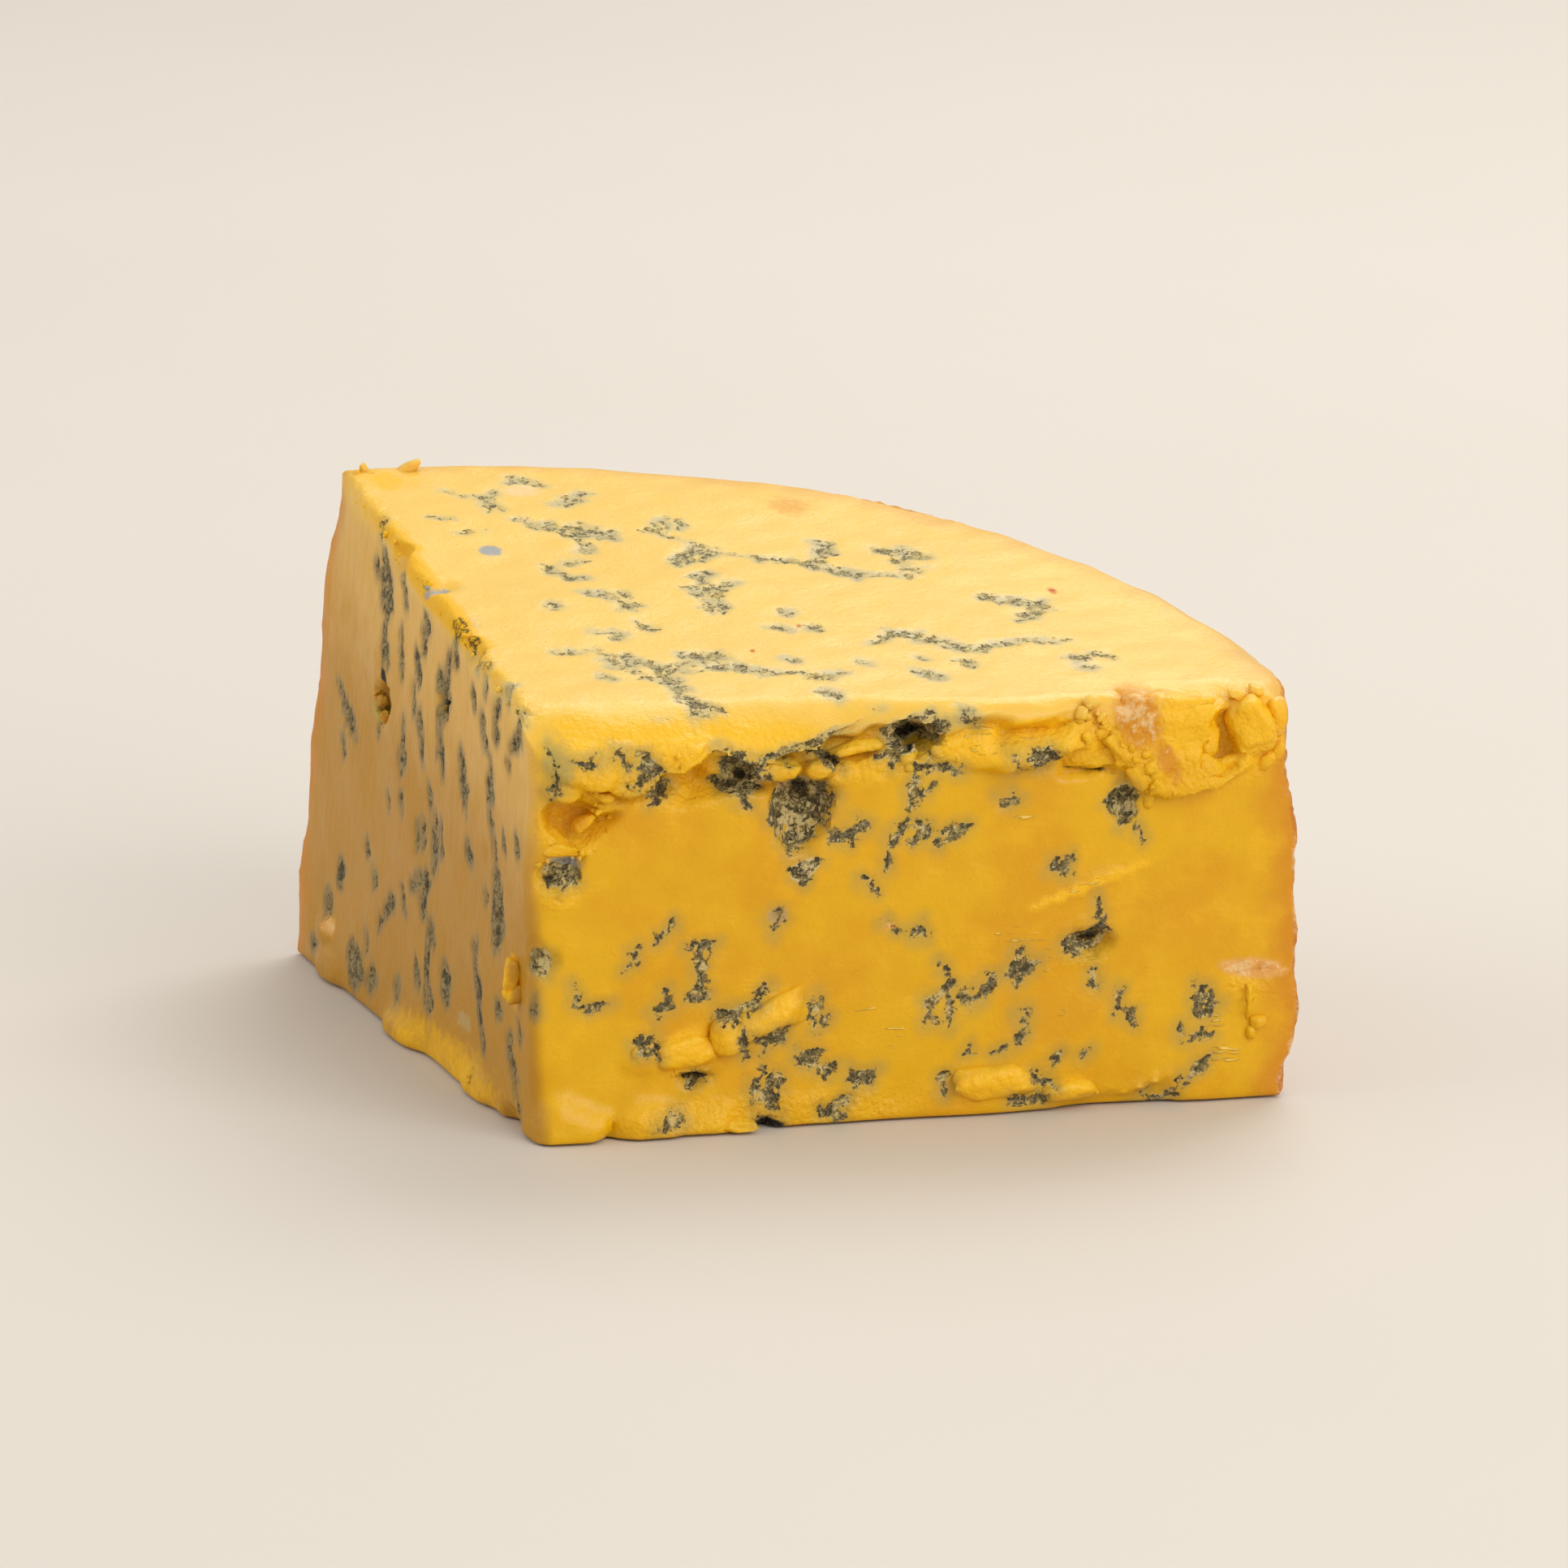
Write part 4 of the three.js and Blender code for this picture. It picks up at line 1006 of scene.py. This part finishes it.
def small_crumbs():
    """Crumbs strewn along the torn edges of the cuts, with few faces each."""
    rng = np.random.default_rng(SEED + 6)
    pieces = []
    for face, start, end, stray, count, sizes in CRUMB_LINES:
        for _ in range(count):
            u, z = mix(np.array(start), np.array(end), rng.uniform()) + rng.normal(0, stray, 2)
            half = rng.uniform(*sizes) * rng.uniform(0.7, 1.3, 3)
            sunk = rng.uniform(0, 0.6) * half[1]
            if face == "front":
                sunk -= front_relief(np.array([u]), np.array([z]))[0][0]
                at = (u, sunk, max(z, half[2] + CRUMB_CLEAR))
            else:
                turn = left_turn(z / top_height(0, u))
                c, s = math.cos(turn), math.sin(turn)
                at = (u * c + sunk * s, u * s - sunk * c, z)
            pieces.append(lump(at, half, rng.uniform(-60, 60), CRUMB_CRISP, 3))
    return pieces


def fused(body, lumps):
    """The body and its lumps as one closed mesh."""
    heap = bpy.data.collections.new("lumps")
    bpy.context.scene.collection.children.link(heap)
    for piece in lumps:
        bpy.context.collection.objects.unlink(piece)
        heap.objects.link(piece)
    union = body.modifiers.new("union", "BOOLEAN")
    union.operation = "UNION"
    union.solver = "MANIFOLD"
    union.operand_type = "COLLECTION"
    union.collection = heap
    bpy.context.view_layer.update()
    mesh = bpy.data.meshes.new_from_object(body.evaluated_get(bpy.context.evaluated_depsgraph_get()))
    body.modifiers.clear()
    body.data = mesh
    for piece in lumps:
        bpy.data.objects.remove(piece)
    bpy.data.collections.remove(heap)
    return body


def fine_relief(points, fields):
    """How far the skin, the crumb and the mould stand out at each point."""
    coarse = crumbs(points, COARSE_CRUMB, 1.0) - 0.6
    fine = crumbs(points, FINE_CRUMB, 5.0) - 0.6

    def crumble(coarse_rise, fine_rise, rise, length):
        return coarse_rise * coarse + fine_rise * fine + rise * waves(*points.T, length)

    out = (
        -MOULD_SUNK * fade(-0.2, 0.4, fields["mould"])
        + fields["crag"] * crumble(*TORN_RISE)
        + fields["fluff"] * (FLUFF_RISE * fine)
        + fade(0, 1.2, fields["rind"]) * crumble(*RIND_RISE)
    )
    flat_foot = 1 - 0.9 * fade(0.3, 1.2, points[:, 2])
    return wavered(out, CUT_WAVE, *points.T) * flat_foot


def rough_up(piece):
    """Fine relief along the normals, and the fields as attributes of the mesh."""
    mesh = piece.data
    count = len(mesh.vertices)
    places = np.empty(3 * count)
    normals = np.empty(3 * count)
    mesh.vertices.foreach_get("co", places)
    mesh.vertices.foreach_get("normal", normals)
    points = places.reshape(-1, 3) / MM + ORIGIN
    fields = surface_fields(points)
    points = points + normals.reshape(-1, 3) * fine_relief(points, fields)[:, None]
    points[:, 2] = np.maximum(points[:, 2], 0)
    mesh.vertices.foreach_set("co", ((points - ORIGIN) * MM).ravel())
    for name, values in fields.items():
        kind, key = ("FLOAT_COLOR", "color") if name == "tint" else ("FLOAT", "value")
        mesh.attributes.new(name, kind, "POINT").data.foreach_set(key, values.ravel())
    mesh.update()


# Materials


class Value:
    """What a node works out, to calculate with as if it were a plain number."""

    def __init__(self, shader, socket):
        self.shader = shader
        self.socket = socket

    def __add__(self, other):
        return self.shader.math("ADD", self, other)

    def __sub__(self, number):
        return self + -number

    def __rsub__(self, number):
        return self * -1.0 + number

    def __mul__(self, other):
        return self.shader.math("MULTIPLY", self, other)

    def __abs__(self):
        return self.shader.math("ABSOLUTE", self, 0.0)


class Shader:
    """Short ways to add nodes to one material."""

    def __init__(self, name):
        self.material = bpy.data.materials.new(name)
        self.material.use_nodes = True
        self.tree = self.material.node_tree
        self.tree.nodes.clear()

    def add(self, kind, inputs, **settings):
        node = self.tree.nodes.new(kind)
        for key, value in settings.items():
            setattr(node, key, value)
        for key, value in inputs.items():
            if isinstance(value, Value):
                self.tree.links.new(value.socket, node.inputs[key])
            else:
                node.inputs[key].default_value = value
        return node

    def value(self, output, kind, inputs, **settings):
        """One output of a new node."""
        return Value(self, self.add(kind, inputs, **settings).outputs[output])

    def math(self, operation, a, b):
        return self.value(0, "ShaderNodeMath", {0: a, 1: b}, operation=operation)

    def most(self, a, b):
        return self.math("MAXIMUM", a, b)

    def ramp(self, value, start, end, low=0.0, high=1.0):
        """low before start, high after end; start may be the larger."""
        if start > end:
            start, end, low, high = end, start, high, low
        keys = {"Value": value, "From Min": start, "From Max": end, "To Min": low, "To Max": high}
        return self.value(0, "ShaderNodeMapRange", keys, interpolation_type="SMOOTHSTEP")

    def mix(self, factor, a, b):
        return self.value(2, "ShaderNodeMix", {0: factor, 6: a, 7: b}, data_type="RGBA")

    def blend(self, factor, a, b):
        return self.value(0, "ShaderNodeMix", {0: factor, 2: a, 3: b}, data_type="FLOAT")

    def stretch(self, vector, scale):
        return self.value(0, "ShaderNodeVectorMath", {0: vector, 1: scale}, operation="MULTIPLY")

    def noise(self, vector, size, detail=3.0, rough=0.55):
        """Noise about 0.5 with features about `size` across."""
        keys = {"Vector": vector, "Scale": 1 / size, "Detail": detail, "Roughness": rough}
        return self.value(0, "ShaderNodeTexNoise", keys)

    def cells(self, vector, size):
        return self.value(0, "ShaderNodeTexVoronoi", {"Vector": vector, "Scale": 1 / size})

    def attribute(self, name, output="Fac"):
        return self.value(output, "ShaderNodeAttribute", {}, attribute_name=name)

    def place(self):
        return self.value("Object", "ShaderNodeTexCoord", {})

    def upward(self):
        """1 where the surface looks up, 0 where it is upright, -1 underneath."""
        normal = self.value("Normal", "ShaderNodeNewGeometry", {})
        return self.value(2, "ShaderNodeSeparateXYZ", {0: normal})

    def finish(self, surface):
        """The material, with one Principled shader of these settings."""
        shader = self.value(0, "ShaderNodeBsdfPrincipled", surface)
        self.add("ShaderNodeOutputMaterial", {"Surface": shader})
        return self.material


def cheese_values(s):
    """The mesh's fields and the noises, by name, for the functions below."""
    v = SimpleNamespace(**{name: s.attribute(name) for name in FIELDS})
    v.place = s.stretch(s.place(), (1 / MM, 1 / MM, 1 / MM))
    for name, (size, detail, rough, *scale) in NOISES.items():
        place = s.stretch(v.place, *scale) if scale else v.place
        setattr(v, name, s.noise(place, size, detail, rough))
    v.scratched = s.ramp(v.score, 0.6, 0.68) * s.ramp(v.scratch + v.patch, 0.8, 1.2)
    return v


def paste_colour(s, v):
    """Paste: cloudy, lighter where torn and browner by the rind, with painted light: a top paled for
    sheen, a left cut shaded darker and paled for sheen near its top, and paler places where the surface
    faces up.
    """
    paste = s.mix(s.ramp(v.cloud, 0.36, 0.62), PASTE_DEEP, PASTE)
    paste = s.mix(s.ramp(v.patch, 0.45, 0.75) * 0.3, paste, PASTE_TORN)
    # Painted shade on the left cut, with painted sheen towards its top.
    side = s.mix(s.ramp(v.below + v.patch * 12, 36, 10), PASTE_LEFT_SHADED, PASTE_LEFT_SHEEN)
    paste = s.mix(v.left * 0.9, paste, side)
    paste = s.mix(v.left * s.ramp(v.drag, 0.52, 0.66) * 0.22, paste, HALO_LEFT)
    # Painted sheen: the top is paler.
    paste = s.mix(v.top * 0.85, paste, PASTE_TOP_SHEEN)
    paste = s.mix(s.most(v.crag * 0.6, v.fresh), paste, PASTE_TORN)
    # Painted light: paler where the surface faces up.
    lit = s.ramp(s.upward(), 0.35, 0.9) * (1 - v.top)
    paste = s.mix(lit * 0.35, paste, PASTE_LIT)
    by_rind = s.ramp(v.rind + v.patch * 5, 9, 2.5)
    by_rind = by_rind * s.ramp(v.top, 0, 1, 0.8, 0.35) * s.ramp(v.fresh, 0, 1, 1, 0.3)
    paste = s.mix(by_rind, paste, PASTE_BY_RIND)
    return s.mix(v.scratched * 0.7, paste, PASTE_PALE)


def mould_shape(s, v):
    """Adds to v where the mould is fluffy, and where it has black ragged lines:
    along the strokes' edges, and as threads inside them."""
    front_jag = v.grain * 2.2 + v.speck * 0.9 - 1.55
    left_jag = v.drag * 2.4 + v.speck * 0.6 - 1.5
    jag = s.blend(v.left, front_jag, left_jag) * s.ramp(v.top, 0, 1, 1, 1.5)
    near = v.mould + jag * 0.9
    v.fluffy = s.ramp(near + v.fluff * -0.9, 0.35, -0.1)
    inset = v.wide * s.blend(s.most(v.left, v.top), -0.6, -0.1)
    edge = abs(abs(v.vein + jag) + inset) * s.blend(v.left, 1.0, 0.65)
    kept = s.ramp(v.gaps + v.left * -0.09, 0.38, 0.5)
    lined = s.ramp(edge, 0.16, 0.06) * s.ramp(near, 0.25, 0.0) * kept
    thread = s.ramp(abs(v.threads - 0.5), 0.03, 0.01) * s.ramp(near, 0.3, 0.0)
    v.black = s.most(lined, thread * 0.8)


def with_mould(s, v, paste):
    """A stain round the mould, a veil on the smeared faces, and grey-green fluff."""
    stain = s.ramp(v.mould + v.patch * 2.6, 3.4, 1.0) * 0.68
    base = s.mix(stain, paste, s.mix(v.top, s.mix(v.left, HALO, HALO_LEFT), HALO_TOP))
    veil = v.mould + (s.blend(v.left, v.patch, v.drag) * 3.4) - 1.7
    veil = s.ramp(veil, 1.3, -0.4) * s.most(v.left, v.top * 0.6)
    base = s.mix(veil * 0.8, base, s.mix(v.top, SMEAR, SMOKE))
    tone = v.speck * 0.9 + v.grain + v.top * 0.06 - 0.06
    fluff = s.mix(s.ramp(tone, 0.74, 0.82), MOULD_SLATE, MOULD_GREEN)
    fluff = s.mix(s.ramp(tone, 0.84, 0.92), fluff, MOULD_PALE)
    shown = v.left * -0.5 + 0.8 + v.top * -0.55
    return s.mix(v.fluffy * shown, base, fluff)


def with_stains(s, v, base):
    """Stains, crusts and painted shadow in holes and hollows, with broken edges
    and a frost of salt, and on them the black of the mould."""
    broken = v.patch * 0.7 + v.grain + v.speck * 0.4
    # Where stains, crusts and the painted shadow of holes show, with broken edges.
    v.stained = s.ramp(s.attribute("tint", "Alpha") + broken, 1.15, 2.05)
    frosted = s.ramp(v.speck * 0.6 + v.grain + v.patch, 1.22, 1.56)
    frosted = frosted * s.ramp(v.salt, 0.3, 0.9) * 0.75
    base = s.mix(v.stained, base, s.mix(frosted, s.attribute("tint", "Color"), FROST))
    black = s.mix(s.ramp(v.speck, 0.45, 0.65), MOULD_BLACK, MOULD_SLATE)
    return s.mix(v.black * 0.84, base, black)


def with_rind(s, v, base):
    """Rind: brown, darker in some noise patches and bloomed in others."""
    v.on_rind = s.ramp(v.rind + v.grain * 1.2, 1.5, 0.9)
    skin = s.mix(s.ramp(v.patch, 0.62, 0.4), RIND_BROWN, RIND_DARK)
    bloom = s.ramp(v.bloom + v.speck * 0.35, 0.62, 0.8)
    return s.mix(v.on_rind, base, s.mix(bloom * 0.8, skin, RIND_BLOOM))


def cheese_bump(s, v):
    """What is too fine for the mesh, in millimetres: grain, scrapes, crumb, fluff."""
    torn = s.most(s.most(v.crag, v.fresh * 0.6), s.most(v.fluff, v.on_rind))
    scraped = s.ramp(v.patch, 0.5, 0.7) * (1 - v.top)
    crumb = s.cells(v.place, CRUMB_SIZE) * -0.22 + v.grain * 0.3 + v.speck * 0.15
    height = (
        v.grain * 0.1
        + v.speck * 0.05
        + scraped * v.scrape * 0.12
        + v.scratched * 0.25
        + s.ramp(v.moist, 0.6, 0.75) * 0.03
        + torn * crumb
        + v.fluffy * (v.speck * 0.5 + v.grain * 0.5 - 0.5)
        + v.black * -0.2
        + v.left * (v.drag * 0.3)
    )
    return s.value(0, "ShaderNodeBump", {"Strength": 0.9, "Distance": MM, "Height": height})


def cheese_material():
    s = Shader("cheese_paste")
    v = cheese_values(s)
    mould_shape(s, v)
    base = with_rind(s, v, with_stains(s, v, with_mould(s, v, paste_colour(s, v))))
    rough = v.fluffy * 0.4 + 0.2 + v.on_rind * 0.35 + v.patch * 0.24
    surface = {
        "Base Color": base,
        "Roughness": rough + v.stained * 0.3 + v.left * 0.12,
        "Normal": cheese_bump(s, v),
        "Specular IOR Level": 0.32,
        "Subsurface Weight": 0.2,
        "Subsurface Radius": (1.0, 0.42, 0.1),
        "Subsurface Scale": 0.003,
    }
    return s.finish(surface)


def floor_material():
    s = Shader("pale_floor")
    base = s.mix(s.noise(s.place(), 0.3), FLOOR_LIGHT, FLOOR_DARK)
    return s.finish({"Base Color": base, "Roughness": 0.7})


# Camera, lights and floor

EYE = np.array([-181.06, -976.96, 296.67])  # mm, from the wedge's point
LOOK = Vector((0.20736, 0.94749, -0.24346))
LENS = 186.3
CLIP_END = 50
FLOOR_SIZE = 8
FLOOR_DROP = 0.05  # mm, so that the floor and the flat underside don't coincide
LIGHTS = [
    # where (m), size (m), power (W), what it stands for
    ((0.55, 0.75, 1.1), 0.9, 9),  # window behind and to the right
    ((0.7, -1.2, 0.9), 1.2, 13),  # soft fill on the front cut
    ((-1.3, 0.2, 0.8), 1.0, 5),  # and on the left cut
]
SKY = (1.0, 0.99, 0.97, 1.0)
SKY_STRENGTH = 0.6


def place_camera():
    data = bpy.data.cameras.new("camera")
    data.lens = LENS
    data.clip_end = CLIP_END
    camera = bpy.data.objects.new("camera", data)
    camera.location = (EYE - ORIGIN) * MM
    camera.rotation_euler = LOOK.to_track_quat("-Z", "Y").to_euler()
    bpy.context.collection.objects.link(camera)
    bpy.context.scene.camera = camera


def place_lights():
    for i, (place, size, power) in enumerate(LIGHTS):
        data = bpy.data.lights.new(f"softbox_{i}", "AREA")
        data.size = size
        data.energy = power
        lamp = bpy.data.objects.new(f"softbox_{i}", data)
        lamp.location = place
        lamp.rotation_euler = (-Vector(place)).to_track_quat("-Z", "Y").to_euler()
        bpy.context.collection.objects.link(lamp)
    world = bpy.data.worlds.new("sky")
    world.use_nodes = True
    world.node_tree.nodes["Background"].inputs[0].default_value = SKY
    world.node_tree.nodes["Background"].inputs[1].default_value = SKY_STRENGTH
    bpy.context.scene.world = world
    bpy.context.scene.view_settings.view_transform = "Standard"


def place_floor():
    bpy.ops.mesh.primitive_plane_add(size=FLOOR_SIZE, location=(0, 0, -FLOOR_DROP * MM))
    floor = bpy.context.object
    floor.name = "floor"
    floor.data.materials.append(floor_material())


# The scene


def build_cheese():
    cheese = fused(wedge_body(), [lump(*row) for row in LUMPS] + small_crumbs())
    rough_up(cheese)
    cheese.data.materials.clear()
    cheese.data.materials.append(cheese_material())
    cheese.data.shade_smooth()
    cheese.data.set_sharp_from_angle(angle=math.radians(60))
    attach(cheese, "root")
    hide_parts(NODE)


place_camera()
place_lights()
place_floor()
build_cheese()
